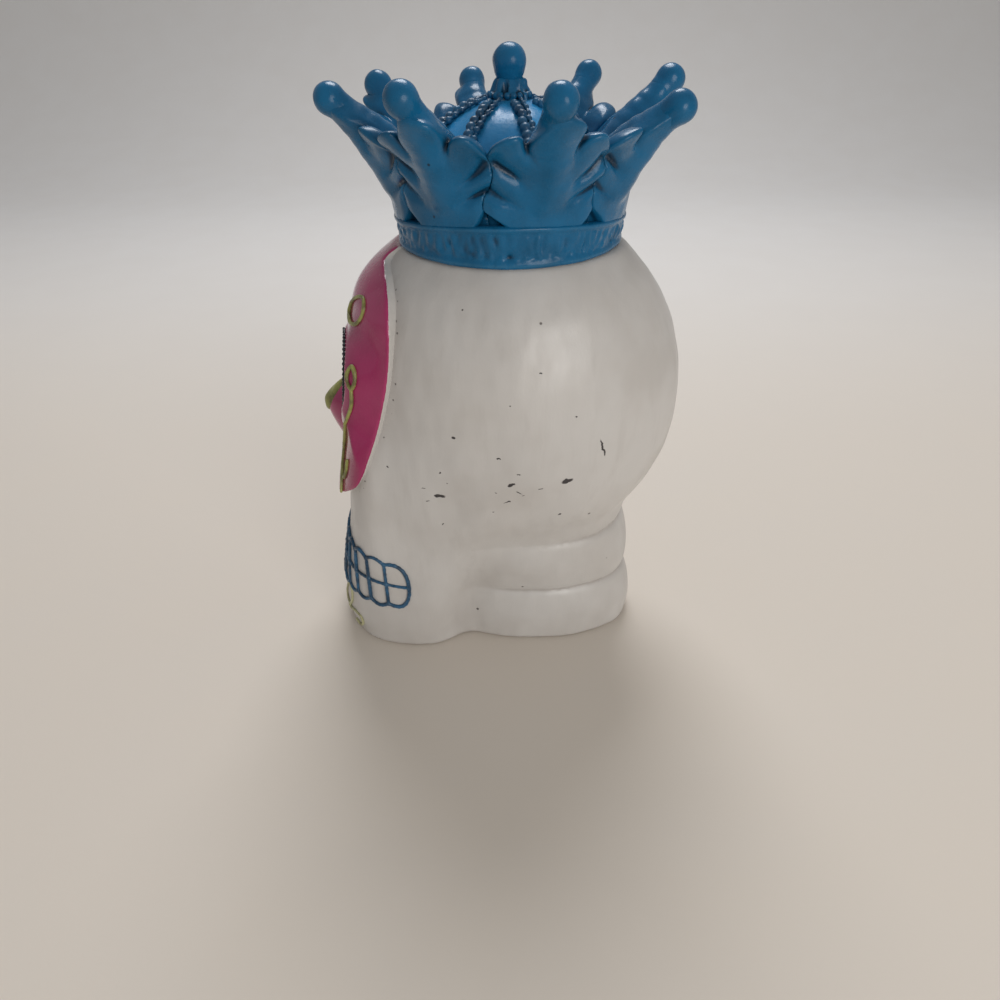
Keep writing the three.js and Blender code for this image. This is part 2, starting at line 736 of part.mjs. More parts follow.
// A finger: a flat lozenge bent to the leaf, from a root to a tip given by angle and height
function finger(rootAngle, rootHeight, tipAngle, tipHeight, halfWidth) {
  const girth = leafRadius((rootHeight + tipHeight) / 2);
  const root = new THREE.Vector2(girth * THREE.MathUtils.degToRad(rootAngle), rootHeight);
  const tip = new THREE.Vector2(girth * THREE.MathUtils.degToRad(tipAngle), tipHeight);
  const middle = root.clone().add(tip).divideScalar(2);
  const axis = tip.clone().sub(middle);
  const across = new THREE.Vector2(axis.y, -axis.x).normalize().multiplyScalar(halfWidth);
  const geometry = new THREE.SphereGeometry(1, 8, 3);
  const spots = geometry.getAttribute('position');
  for (let i = 0; i < spots.count; i += 1) {
    const place = middle.clone().addScaledVector(axis, spots.getX(i));
    place.addScaledVector(across, spots.getZ(i));
    const depth = spots.getY(i) > 0 ? FINGER_CROWN * (1 - spots.getY(i)) : FINGER_BACK;
    const radius = leafRadius(place.y) - depth;
    const angle = place.x / girth;
    spots.setXYZ(i, radius * Math.cos(angle), radius * Math.sin(angle), LEAF_Z + place.y);
  }
  return solid(geometry);
}

// The plain ring behind the fingers of all leaves
function leafWall() {
  const steps = 2;
  const outer = [];
  const inner = [];
  for (let i = 0; i <= steps; i += 1) {
    const height = (LEAF_NOTCH_HEIGHT * i) / steps;
    const radius = leafRadius(height) - FINGER_RELIEF;
    outer.push(new THREE.Vector2(radius, LEAF_Z + height));
    inner.unshift(new THREE.Vector2(radius - LEAF_WALL + FINGER_RELIEF, LEAF_Z + height));
  }
  const profile = [...outer, ...inner];
  const rings = profile.map(({ x, y }) =>
    Array.from({ length: 2 * POINTS }, (_, j) => {
      const angle = (j / POINTS) * Math.PI;
      return new THREE.Vector3(x * Math.cos(angle), x * Math.sin(angle), y);
    }),
  );
  return solid(loft(rings, true));
}

// The share of the circle that one leaf may fill
function leafSector() {
  const half = Math.PI / POINTS;
  const far = 2 * PEARL_RING_RADIUS;
  const tip = FIT / 2 / Math.sin(half);
  const shape = new THREE.Shape();
  shape.moveTo(tip, 0);
  shape.lineTo(tip + far, -far * Math.tan(half));
  shape.lineTo(tip + far, far * Math.tan(half));
  const sector = new THREE.ExtrudeGeometry(shape, { depth: 2 * PEARL_HEIGHT, bevelEnabled: false });
  sector.translate(0, 0, LEAF_Z);
  return solid(sector);
}

// The arm leaves the stem, leans out and ends at the pearl
function crownArm(pearl) {
  const inLeaf = (height) => new THREE.Vector3(leafRadius(height) - ARM_HALF_DEPTH, 0, LEAF_Z + height);
  const curve = new THREE.QuadraticBezierCurve3(inLeaf(ARM_ROOT_HEIGHT), inLeaf(ARM_KNEE_HEIGHT), pearl);
  const steps = 4;
  const sides = 6;
  const rings = curve.getSpacedPoints(steps).map((point, i) => {
    const tangent = curve.getTangentAt(i / steps);
    const across = new THREE.Vector3(0, 1, 0);
    const up = tangent.clone().cross(across);
    const scale = THREE.MathUtils.lerp(1, ARM_TIP_SCALE, (i / steps) ** 2);
    return Array.from({ length: sides }, (_, k) => {
      const angle = ((k + 0.5) / sides) * 2 * Math.PI;
      return point
        .clone()
        .addScaledVector(across, ARM_HALF_WIDTH * scale * Math.cos(angle))
        .addScaledVector(up, ARM_HALF_DEPTH * scale * Math.sin(angle));
    });
  });
  return solid(loft(rings));
}

// The leaf without its arm, centred on +X
function leafBody() {
  let body = leafWall().add(finger(0, STEM_ROOT_HEIGHT, 0, STEM_TIP_HEIGHT, STEM_HALF_WIDTH));
  for (const [rootAngle, rootHeight, tipAngle, tipHeight, halfWidth] of FINGER_ROWS) {
    for (const side of [-1, 1]) {
      body = body.add(finger(side * rootAngle, rootHeight, side * tipAngle, tipHeight, halfWidth));
    }
  }
  return body.intersect(leafSector());
}

const pearlBall = (radius) => new THREE.SphereGeometry(radius, 8, 6);

// One leaf with its arm, dished at the end for the pearl
function crownLeaf(name, body, pearl) {
  const dish = pearlBall(PEARL_RADIUS + FIT);
  dish.translate(pearl.x, pearl.y, pearl.z);
  return piece(name, body.add(crownArm(pearl)).subtract(solid(dish)), BLUE);
}

function crownCap() {
  const steps = 8;
  const plugRadius = BAND_INNER_RADIUS - FIT;
  const profile = [new THREE.Vector2(0, BAND_Z), new THREE.Vector2(plugRadius, BAND_Z)];
  const rimAngle = Math.asin((BAND_TOP_Z + FIT - CAP_CENTRE_Z) / CAP_RADIUS);
  profile.push(new THREE.Vector2(plugRadius, BAND_TOP_Z + FIT));
  const crown = Math.acos(COLLAR_RADIUS / 2 / CAP_RADIUS);
  for (let i = 0; i <= steps; i += 1) {
    const angle = THREE.MathUtils.lerp(rimAngle, crown, i / steps);
    const height = CAP_RADIUS * Math.sin(angle);
    profile.push(new THREE.Vector2(CAP_RADIUS * Math.cos(angle), CAP_CENTRE_Z + height));
  }
  profile.push(new THREE.Vector2(0, CAP_CENTRE_Z + CAP_RADIUS * Math.sin(crown)));
  const cap = new THREE.LatheGeometry(profile, 20);
  cap.rotateX(Math.PI / 2);
  return piece('crown_cap', solid(cap), BLUE);
}

// A beaded strap that follows the dome from the collar down behind one arm
function archGeometry() {
  const foot = THREE.MathUtils.degToRad(ARCH_FOOT_ANGLE);
  const head = Math.acos((COLLAR_RADIUS + FIT + ARCH_BEAD) / CAP_RADIUS);
  const rings = [];
  for (let i = 0; i <= ARCH_BEADS; i += 1) {
    const angle = THREE.MathUtils.lerp(foot, head, i / ARCH_BEADS);
    const half = ARCH_WIDTH / 2;
    const left = i % 2 === 0 ? ARCH_BEAD : 0;
    const right = ARCH_BEAD - left;
    const corners = [
      [-half, 0],
      [-half, ARCH_THICKNESS + left],
      [0, ARCH_THICKNESS],
      [half, ARCH_THICKNESS + right],
      [half, 0],
    ];
    rings.push(
      corners.map(([across, lift]) => {
        const radius = CAP_RADIUS + FIT + lift;
        return new THREE.Vector3(radius * Math.cos(angle), across, CAP_CENTRE_Z + radius * Math.sin(angle));
      }),
    );
  }
  return loft(rings);
}

function finial() {
  const seat = CAP_CENTRE_Z + CAP_RADIUS + FIT;
  const top = seat + COLLAR_HEIGHT;
  const centre = top + Math.sqrt((FINIAL_RADIUS + FIT) ** 2 - FINIAL_SEAT_RADIUS ** 2);
  const profile = [
    new THREE.Vector2(0, seat - COLLAR_SKIRT),
    new THREE.Vector2(COLLAR_RADIUS, seat - COLLAR_SKIRT),
    new THREE.Vector2(COLLAR_RADIUS, seat + COLLAR_STEP_HEIGHT),
    new THREE.Vector2(COLLAR_RADIUS - COLLAR_STEP, seat + COLLAR_STEP_HEIGHT),
    new THREE.Vector2(COLLAR_TOP_RADIUS, top),
    new THREE.Vector2(0, top),
  ];
  const collar = new THREE.LatheGeometry(profile, 16);
  collar.rotateX(Math.PI / 2);
  const dish = new THREE.SphereGeometry(FINIAL_RADIUS + FIT, 12, 8);
  dish.translate(0, 0, centre);
  const dome = new THREE.SphereGeometry(CAP_RADIUS + FIT, 20, 24);
  dome.translate(0, 0, CAP_CENTRE_Z);
  const body = solid(collar).subtract(solid(dish)).subtract(solid(dome));
  const pearl = piece('finial_pearl', new THREE.SphereGeometry(FINIAL_RADIUS, 12, 8), BLUE);
  pearl.position.z = centre;
  return [piece('finial_collar', body, BLUE), pearl];
}

function crown() {
  const group = new THREE.Group();
  group.add(crownBand(), crownCap(), ...finial());
  const body = leafBody();
  const arch = archGeometry();
  const ball = pearlBall(PEARL_RADIUS);
  POINT_ROWS.forEach(([reach, lift], k) => {
    const pearl = piece(`crown_pearl_${k + 1}`, ball, BLUE);
    pearl.position.set(PEARL_RING_RADIUS + reach, 0, BAND_TOP_Z + PEARL_HEIGHT + lift);
    const point = new THREE.Group();
    point.add(crownLeaf(`crown_leaf_${k + 1}`, body, pearl.position), pearl);
    point.add(piece(`crown_arch_${k + 1}`, arch, BLUE));
    point.rotation.z = -Math.PI / 2 + ((k + 0.5) / POINTS) * 2 * Math.PI;
    group.add(point);
  });
  return group;
}

function face() {
  const group = new THREE.Group();
  group.add(maskPanel(), noseBoss(), noseCap(), teethPiping());
  for (const [label, side] of [['left', 1], ['right', -1]]) {
    group.add(eyeRing(`eye_ring_${label}`, side), browScroll(`brow_scroll_${label}`, side));
    group.add(cheekVine(`cheek_vine_${label}`, side), chinScroll(`chin_scroll_${label}`, side));
  }
  return group;
}

const skull = new THREE.Group();
skull.add(skullCasting(), face(), crown());

export default skull;
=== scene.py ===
# Crowned sugar skull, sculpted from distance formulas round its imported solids.
# Formulas are in millimetres, in the frame of the solids. Meshes are made in metres.
import math

import bpy
import numpy as np
import openvdb
from mathutils import Matrix, Vector


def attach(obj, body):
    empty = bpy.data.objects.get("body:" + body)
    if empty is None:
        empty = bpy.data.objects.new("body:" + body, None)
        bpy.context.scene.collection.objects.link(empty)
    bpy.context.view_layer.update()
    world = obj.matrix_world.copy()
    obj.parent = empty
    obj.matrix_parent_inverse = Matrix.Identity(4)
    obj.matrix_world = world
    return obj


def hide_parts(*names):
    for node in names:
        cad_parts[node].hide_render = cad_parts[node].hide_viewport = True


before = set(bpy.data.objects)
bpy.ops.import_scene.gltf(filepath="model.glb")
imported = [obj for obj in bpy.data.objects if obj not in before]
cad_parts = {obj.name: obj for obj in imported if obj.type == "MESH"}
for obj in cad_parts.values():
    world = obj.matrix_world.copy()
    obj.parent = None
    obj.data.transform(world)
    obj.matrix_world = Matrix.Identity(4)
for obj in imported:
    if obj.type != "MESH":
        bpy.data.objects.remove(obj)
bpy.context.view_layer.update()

METRES = 0.001
# Gap between pieces that fit together
FIT = 0.3
# Least divisor
TINY = 1e-9
UP = np.array([0.0, 0.0, 1.0])
SIDES = {"left": 1, "right": -1}

# Camera, in pixels of a square image, millimetres and degrees
IMAGE_SIZE = 1000
FOCAL_PIXELS = 755
SENSOR = 36
CAMERA_AT = np.array([183.5, 21.0, 155.0])
CAMERA_HEADING = np.array([-0.9914, -0.1305, 0.0])
CAMERA_PITCH = math.radians(32.88)
CAMERA_ROLL = math.radians(-0.71)

# Skull
CRANIUM_HALF = (35.0, 42.45, 46.6)
CRANIUM_AT = (0.0, 0.75, 73.0)
CROWN_SEAT_Z = 109.8
SHOULDER_Z = 85.0
SHOULDER_BLEND = 3.0
SEAT_INSET = 1.2
# Jaw: height, front, rear, half width
JAW_ROWS = np.array([
    [0, 49.3, 12.6, 26.0],
    [8, 50.4, 13.2, 27.8],
    [22, 48.6, 10.2, 28.2],
    [36, 45.4, 5.0, 28.6],
    [52, 42.5, -4.0, 29.0],
    [68, 35.4, -4.0, 24.0],
    [84, 32.0, 10.0, 9.0],
])
JAW_MID_Y = -31.0
JAW_FRONT_ROUND = 2.1
JAW_REAR_ROUND = 4.5
JAW_BLEND = 12.0
CHEEK_AT = (13.0, -27.5, 77.0)
CHEEK_HALF = (12.0, 12.0, 15.0)
CHEEK_BLEND = 4.0
NECK_WIDTH = 40.6
NECK_BACK = 36.0
NECK_LEAN = 0.1
NECK_FLARE = 3.5
NECK_ROUND = 2.15
NECK_FRONT = 22.0
NECK_TOP = 46.0
NECK_BLEND = 2.5
VALLEY_BLEND = 9.0
# Where, from front to back, the wide blend in the valley behind the jaw narrows
VALLEY_SPAN = (-14, 8)
ROLL_HEIGHT = 18.0
ROLL_DEPTH = 1.3
# Creases of the neck: height, and where from front to back they start and are full
CREASE_ROWS = [(ROLL_HEIGHT, (-9, 3)), (2 * ROLL_HEIGHT, (0, 26))]
CREASE_DEPTH = 0.7
CREASE_HALF_WIDTH = 0.85
CREASE_POWER = 1.3
FOOT_ROUND = 1.6
# How far a line from inside the head is followed, and how often that span is halved
REACH = 80.0
HALVINGS = 40
SKULL_BOX = ((-38, -54, -2), (38, 46, 112))
SKULL_CELL = 0.85

# Mask, eyes and nose
# Height, and how far the mask stands off the head there
MASK_LIFT_ROWS = np.array([[43, 3.6], [60, 2.2], [90, 2.2], [101, 3.2], [CROWN_SEAT_Z, 0.9]])
# The strip of the mask that runs up to the band
MASK_TIP_HALF_WIDTH = 9.5
MASK_TIP_Z = 105.0
# Height, and how far ahead of the axis the rear edge of the mask is there
MASK_EDGE_ROWS = np.array([
    [43, 54.0], [48.5, 44.5], [53, 38.6], [57, 34.6], [65, 31.0], [75, 27.6], [85, 25.0],
    [94, 24.0], [101, 24.3], [104.6, 25.8], [107.2, 28.2], [108.8, 28.0], [111, 25.0],
])
MASK_BOX = ((-36, -58, 41), (36, -16, 112))
MASK_CELL = 0.55
MASK_CHIN_Z = 43.0
MASK_ROUND = 0.5
MASK_SUNK = 1.0
WALL_SLOPE = 0.36
# Share of that slope at the chin, and the heights between which it grows to the whole
WALL_CHIN_SHARE = 0.3
WALL_SLOPE_SPAN = (48, 72)
# Heights between which the painted shade and grit specks along the foot of the mask's wall come in, and go
# out
MASK_SEAM_START = (46, 60)
MASK_SEAM_END = (103, 106)
EYE_X = 12.6
EYE_Z = 78.7
EYE_HALF_WIDTH = 9.0
EYE_HALF_HEIGHT = 10.6
EYE_TURN = math.radians(16.8)
EYE_TILT = math.radians(7.3)
EYE_RIM_WIDTH = 1.6
EYE_RIM_SUNK = 1.85
EYE_RIM_DEPTH = 10.0
SOCKET_DEPTH = 8.0
EYE_BEAD_RADIUS = 0.42
EYE_BEADS = 56
EYE_STRING_RADIUS = 0.55 * EYE_BEAD_RADIUS
# Cell and softness of joined lines, here and below
EYE_GRID = (0.2, 0.15)
NOSE_Z = 62.0
NOSE_HALF_WIDTH = 6.0
NOSE_HALF_HEIGHT = 10.0
NOSE_RISE = 6.4
NOSE_TIP_LIFT = 2.5
NOSE_CAP_THICKNESS = 0.8
NOSE_CAP_HALF_WIDTH = 2.9
NOSE_CAP_HALF_HEIGHT = 5.2
NOSE_CAP_Z = 67.5
NOSE_BOX = ((-8, -60, NOSE_Z - 13), (8, -34, NOSE_Z + 15))
NOSE_CELL = 0.4
NOSE_CAP_CELL = 0.35

# Piped lines: distance round from the front, height
PIPING_RADIUS = 0.43
CHIN_RADIUS = 0.36
# How far the middle of a line stands off what it lies on, as a share of its radius
LINE_RISE = 0.6
WRAP_RADIUS = 30.0
SCROLL_GRID = (0.18, 0.15)
BROW_LOOP = [
    (25.2, 100.2), (15.6, 97.2), (14.2, 94.6), (18.4, 93.4), (23.7, 94.2), (26.4, 96.4), (27.1, 98.6),
]
VINE_FORK = (27.4, 80.5)
VINE_DROP = [(26.6, 85.6), (25.4, 83.4), (25.9, 81.6), VINE_FORK, (28.4, 82.6), (27.8, 84.9)]
VINE_STEM = [
    VINE_FORK, (27.5, 76.9), (26.4, 73.5), (24.6, 69.2), (22.4, 64.4),
    (21.8, 59.4), (23.8, 55.8), (25.4, 58.0), (26.0, 61.6),
]
VINE_TAIL = [(21.8, 59.4), (22.3, 56.0), (23.4, 51.6)]
CHIN_DROP = [(18.4, 17.4), (15.9, 13.6), (15.0, 10.2), (16.6, 8.4), (19.2, 11.4), (19.9, 15.2)]
CHIN_HOOK = [(16.6, 8.4), (17.8, 7.6), (20.6, 8.8), (23.1, 8.4), (23.2, 6.0), (21.4, 3.8), (19.9, 4.8)]
TOOTH_COLUMNS = 7
TOOTH_PITCH = 5.2
END_TOOTH_LENGTH = 6.3
TEETH_Z = 25.4
TEETH_HEIGHT = 13.8
TOOTH_SCALLOP = 1.3
END_ROUND = 0.92
TOOTH_LINE_RADIUS = 0.48
TOOTH_UPRIGHT_RADIUS = 0.95 * TOOTH_LINE_RADIUS
TOOTH_MIDDLE_RADIUS = 0.9 * TOOTH_LINE_RADIUS
TOOTH_CROSSING_RADIUS = 1.2 * TOOTH_LINE_RADIUS
# How far the last tooth droops, and where the droop starts
TEETH_DROOP = 1.8
DROOP_START = 29.0
TEETH_GRID = (0.26, 0.22)

# Crown
BAND_RADIUS = 26.1
BAND_FLARE = 0.8
BAND_HEIGHT = 6.1
BAND_INNER_RADIUS = 21.0
BAND_LIP = 0.4
FRIEZE_DEPTH = 0.3
# Section of the band: share of its height, and how far it stands out in lips
BAND_PROFILE = [
    (0.0, -1.2), (0.03, -0.35), (0.09, 0.0), (0.17, -0.1), (0.23, -0.8),
    *((share, -1.0) for share in np.linspace(0.28, 0.8, 16)),
    (0.84, -0.7), (0.88, -0.1), (0.94, 0.0), (0.98, -0.1), (1.0, -0.5), (1.04, -1.5),
]
BAND_SIDES = 480
# Dents in the band: number, depth, and the least and most of angle, share of height and size
DENTS = 34
DENT_DEPTH = 0.35
DENT_SPANS = ((0, 2 * math.pi), (0.3, 0.76), (0.5, 1.2))
# The band is taller on one side: extra height above and below, swell of the lip, angle of the tallest place
BAND_RISE = 2.1
BAND_DROP = 0.5
BAND_SWELL = 0.45
BAND_RISE_AT = math.radians(6.5)
BAND_Z = CROWN_SEAT_Z + FIT
BAND_TOP_Z = BAND_Z + BAND_HEIGHT
LEAF_Z = BAND_TOP_Z + FIT
# Height and radius of the outer skin of the leaves
LEAF_ROWS = np.array([[0, 26.7], [6, 27.8], [11, 29.6], [15, 32.0], [18, 34.6]])
LEAF_WALL = 3.6
LEAF_SUNK = 0.5
LEAF_WALL_HEIGHT = 13.0
LEAF_CELL = 0.45
# Box that a leaf is sculpted in: nearest the axis, to each side, past the pearl
LEAF_BOX = (21, 15, 5)
# Topmost finger of one half leaf: root and tip in degrees and height, half width at root and tip
FINGER = ((8.0, 9.0), (15.6, 15.4), 3.4, 4.1)
# Slits of one half leaf: outer and inner end in degrees and height, depth, half width
SLIT_ROWS = [
    ((10.8, 20.5), (6.2, 13.6), 1.5, 0.9),
    ((20.8, 14.4), (7.5, 9.3), 1.7, 1.15),
    ((22.5, 9.2), (7.5, 5.4), 1.5, 1.05),
]
SEAM_DEPTH = 0.4
SEAM_HALF_WIDTH = 1.6
# Hollow between two leaves above the band: depth, height, half width
NOTCH = (2.2, 3.0, 2.9)
# Pit on the seam: height, depth, half width
PIT = (8.8, 1.6, 0.9)
SEAM_WOBBLE = math.radians(1.5)
# How far each seam leans at its foot, in degrees, and where the lean ends
SEAM_LEANS = [2.0, -3.5, -5.5, 2.0, -3.0, 2.5, -2.0, 3.0]
SEAM_LEAN_TOP = 17.0
STEM_TOP = 17.0
STEM_HALF_WIDTH = 5.4
STEM_RISE = 0.5
PEARL_RADIUS = 3.2
# How far from its middle a pearl takes in the end of its arm, and stands proud of it
PEARL_REACH = 1.45 * PEARL_RADIUS
PEARL_PROUD = 0.04
PEARL_RING_RADIUS = 37.8
PEARL_HEIGHT = 25.4
BALL_CELL = 0.36
BALL_REACH = 5.5
# How each hand-set arm differs: reach outwards, lift, swing in degrees
POINT_ROWS = [
    (0.6, -1.1, 0.0), (0.0, 0.5, -2.0), (0.0, 0.3, -2.2), (0.5, -2.5, 0.0),
    (0.0, 0.3, 0.0), (0.0, 0.1, -2.6), (0.0, -1.3, -1.2), (-2.3, -0.8, -0.5),
]
POINTS = len(POINT_ROWS)
ARM_ROOT_HEIGHT = 9.0
ARM_KNEE_HEIGHT = 16.5
ARM_ROOT_RADIUS = 5.1
ARM_TIP_RADIUS = 2.3
ARM_TAPER = 1.4
ARM_SINK = 4.5
CAP_RADIUS = (LEAF_ROWS[0, 1] - LEAF_WALL) * math.cos(math.pi / POINTS / 2) - FIT
CAP_CENTRE_Z = BAND_Z + 7.2
CAP_PANEL_DISH = 0.5
CAP_FOOT_LIFT = 0.5
CAP_SIDES = 192
CAP_STEPS = 40
ARCH_HALF_WIDTH = 0.85
ARCH_BEAD = 0.72
ARCH_BEADS = 13
ARCH_STRING_RADIUS = 0.45 * ARCH_BEAD
ARCH_FOOT_ANGLE = math.radians(20)
ARCH_GRID = (0.22, 0.1)
ARCH_LIFT = 0.25
# How far each bead is set off by hand, and the stagger of the two rows as a share of their pitch
ARCH_JITTER = 0.12
ARCH_STAGGER = 0.25
COLLAR_RADIUS = 5.0
COLLAR_CONE_RADIUS = 4.3
COLLAR_TOP_RADIUS = 3.0
COLLAR_HEIGHT = 3.4
COLLAR_BEADS = 20
COLLAR_BEAD = 0.7
COLLAR_PETALS = 9
PETAL_DEPTH = 0.28
PETAL_TWIST = 0.5
COLLAR_CELL = 0.3
FINIAL_RADIUS = 3.6
FINIAL_SEAT_RADIUS = 2.6
COLLAR_SEAT_Z = CAP_CENTRE_Z + CAP_RADIUS + FIT
COLLAR_TOP_Z = COLLAR_SEAT_Z + COLLAR_HEIGHT
FINIAL_Z = COLLAR_TOP_Z + math.sqrt((FINIAL_RADIUS + FIT) ** 2 - FINIAL_SEAT_RADIUS ** 2)

# Chips in the white paint: pixel of the photo, half length and half width in millimetres, slope in degrees
CHIP_ROWS = [
    (453, 438, 0.42, 0.38, 0), (440, 496, 1.5, 0.55, 5), (567, 481, 1.4, 0.75, 10),
    (603, 448, 2.6, 0.3, -62), (511, 485, 1.0, 0.5, 30), (519, 493, 0.8, 0.18, -50),
    (508, 502, 0.9, 0.15, 35), (499, 459, 0.5, 0.2, 0), (560, 514, 0.5, 0.25, 20),
    (443, 524, 0.4, 0.25, 70), (540, 374, 0.3, 0.2, 0), (510, 406, 0.25, 0.2, 40),
    (576, 417, 0.3, 0.2, 0), (462, 310, 0.25, 0.2, 0), (440, 473, 0.35, 0.2, 60),
    (496, 493, 0.3, 0.15, 0), (541, 489, 0.7, 0.14, 40), (424, 488, 0.6, 0.12, 5),
    (428, 501, 0.5, 0.12, 20), (447, 483, 0.4, 0.12, -10), (493, 512, 0.25, 0.15, 0),
    (519, 475, 0.4, 0.14, 15), (523, 496, 0.5, 0.12, 30), (388, 467, 0.5, 0.1, -50),
]
# How far the edge of a chip strays
CHIP_WOBBLE = 1.1
# Distances from the camera at which a line of sight is tried for the skull
SIGHT_STEPS = np.linspace(90, 260, 3401)

# Colours
WHITE = (0.58, 0.563, 0.545)
WHITE_CLOUD = (0.52, 0.497, 0.474)
WHITE_STREAK = (0.5, 0.478, 0.456)
# Painted shade laid on the white in hollows and neck creases
WHITE_HOLLOW_SHADE = (0.3, 0.26, 0.235)
# Painted shade along the foot of the mask's wall
WHITE_SEAM_SHADE = (0.5, 0.47, 0.46)
SOCKET_BLACK = (0.012, 0.012, 0.016)
SPECK_BROWN = (0.13, 0.115, 0.11)
CHIP_GREY = (0.045, 0.04, 0.042)
MAGENTA = (0.4, 0.026, 0.132)
MAGENTA_CLOUD = (0.315, 0.02, 0.1)
MAGENTA_SPECK = (0.09, 0.02, 0.03)
MASK_WALL_WHITE = (0.6, 0.58, 0.555)
# Enamels: whole, darker in hollows as painted shade, worn
CROWN_BLUES = ((0.007, 0.122, 0.268), (0.003, 0.024, 0.055), (0.08, 0.23, 0.36))
# Dome panels: a lighter blue paint, made lighter still as painted light from above
PANEL_BLUES_WITH_TOP_LIGHT = ((0.03, 0.28, 0.6), (0.003, 0.026, 0.062), (0.09, 0.27, 0.43))
# Piped paints: light, dark, and the least and most roughness
BEAD_BLUES = ((0.01, 0.105, 0.225), (0.005, 0.05, 0.115), 0.3, 0.45)
GREENS = ((0.31, 0.32, 0.09), (0.14, 0.13, 0.045), 0.28, 0.45)
PALE_GREENS = ((0.5, 0.5, 0.3), (0.32, 0.3, 0.16), 0.3, 0.5)
NAVIES = ((0.008, 0.01, 0.018), (0.004, 0.005, 0.008), 0.2, 0.35)
TEALS = ((0.025, 0.105, 0.205), (0.012, 0.045, 0.09), 0.25, 0.45)
FLOOR_NEAR_DIM = (0.71, 0.645, 0.57)
FLOOR_FAR_LIT = (0.77, 0.76, 0.755)
FLOOR_GRAIN = (0.68, 0.64, 0.6)

# Studio, in metres and watts
FLOOR_HALF_WIDTH = 1.6
# Rows of the flat floor, measured towards the camera, and the radius of the bend behind them
FLOOR_RUNS = (2.0, 0.3, 0.1, -0.1, -0.3, -0.6)
FLOOR_BEND = 0.5
BEND_STEPS = 12
# Distances behind the object between which the dimmer near colour gives way to the lighter far one, painted
# light on the floor and wall
FLOOR_FADE = (-0.1, 0.6)
WALL_TOP = 2.2
SKY_COLOUR = (1.0, 0.985, 0.965, 1)
SKY_STRENGTH = 0.34
LIT_PLACE = (0, 0, 0.08)
# Lamps: name, place, size, power, colour
LAMP_ROWS = [
    ("key", (0.62, 0.42, 0.22), 0.45, 2.3, (1.0, 0.97, 0.93)),
    ("top", (-0.4, -0.04, 0.75), 0.4, 3.7, (0.97, 0.98, 1.0)),
]


def smoothstep(value, low, high):
    t = np.clip((value - low) / (high - low), 0, 1)
    return t * t * (3 - 2 * t)


def along(rows, key, column):
    """Smooth curve through rows of key and values"""
    keys = rows[:, 0]
    values = rows[:, column]
    count = len(keys)
    before = np.maximum(np.arange(count) - 1, 0)
    after = np.minimum(np.arange(count) + 1, count - 1)
    slope = (values[after] - values[before]) / (keys[after] - keys[before])
    i = np.clip(np.searchsorted(keys, key, side="right") - 1, 0, count - 2)
    span = keys[i + 1] - keys[i]
    t = np.clip((key - keys[i]) / span, 0, 1)
    bend = t * (1 - t) * ((1 - t) * slope[i] - t * slope[i + 1]) * span
    return values[i] + (values[i + 1] - values[i]) * t * t * (3 - 2 * t) + bend


def blend(a, b, width):
    """Union of two distances with a rounded valley"""
    h = np.clip(0.5 + 0.5 * (b - a) / width, 0, 1)
    return b + (a - b) * h - width * h * (1 - h)


def keep(a, b, width):
    """Common part of two distances with a rounded edge"""
    return -blend(-a, -b, width)


def carve(a, b, width):
    """First distance without the second, with a rounded edge"""
    return keep(a, -b, width)


def apart(place, origin):
    """A place measured from an origin along each axis"""
    return [here - there for here, there in zip(place, origin)]


def dot(place, way):
    return sum(here * share for here, share in zip(place, way))


def norm(place):
    return np.sqrt(sum(here ** 2 for here in place))


def unit(way):
    return way / np.linalg.norm(way)


def spun(a, b, angle):
    """Two ways at right angles, turned in their plane from the first towards the second"""
    c = math.cos(angle)
    s = math.sin(angle)
    return c * a + s * b, c * b - s * a


def egg(place, middle, half):
    deltas = apart(place, middle)
    size = norm([delta / a for delta, a in zip(deltas, half)])
    slope = norm([delta / a ** 2 for delta, a in zip(deltas, half)])
    return size * (size - 1) / np.maximum(slope, TINY)


def oval(x, y, half_x, half_y, power):
    """Distance to an oval, at least as far as the box round it"""
    over_x = np.abs(x) - half_x
    over_y = np.abs(y) - half_y
    box = np.hypot(np.maximum(over_x, 0), np.maximum(over_y, 0)) + np.minimum(np.maximum(over_x, over_y), 0)
    u = np.abs(x) / half_x
    v = np.abs(y) / half_y
    size = (u ** power + v ** power) ** (1 / power)
    slope = np.hypot(u ** (power - 1) / half_x, v ** (power - 1) / half_y)
    return np.maximum((size - 1) * size ** (power - 1) / np.maximum(slope, TINY), box)


def by_line(place, start, end):
    """How far along a line a place lies, from 0 to 1, and how far from the line"""
    axis = np.subtract(end, start)
    deltas = apart(place, start)
    t = np.clip(dot(deltas, axis) / max(float(axis @ axis), TINY), 0, 1)
    return t, norm([delta - t * a for delta, a in zip(deltas, axis)])


def round_cone(place, start, end, start_radius, end_radius):
    """Distance to a rounded line whose radius changes evenly"""
    t, away = by_line(place, start, end)
    return away - (start_radius + (end_radius - start_radius) * t)


def waves(x, y, z, length, seed):
    """Soft unevenness between about -1 and 1"""
    pick = np.random.default_rng(seed)
    total = 0.0
    count = 5
    for _ in range(count):
        way = pick.normal(size=3)
        way *= 2 * math.pi / (length * np.linalg.norm(way)) * pick.uniform(0.7, 1.4)
        total = total + np.sin(way[0] * x + way[1] * y + way[2] * z + pick.uniform(0, 6.3))
    return total / math.sqrt(count)


# Head, as in the solids
SHOULDER_RADIUS = math.hypot(BAND_RADIUS - SEAT_INSET, CROWN_SEAT_Z - SHOULDER_Z)


def jaw(x, y, z):
    dy = y - JAW_MID_Y
    front = along(JAW_ROWS, z, 1) + JAW_MID_Y
    rear = -along(JAW_ROWS, z, 2) - JAW_MID_Y
    half = along(JAW_ROWS, z, 3)
    before = oval(x, dy, half, front, JAW_FRONT_ROUND)
    behind = oval(x, dy, half, rear, JAW_REAR_ROUND)
    return np.where(dy < 0, before, behind) + np.maximum(0, z - JAW_ROWS[-1, 0])


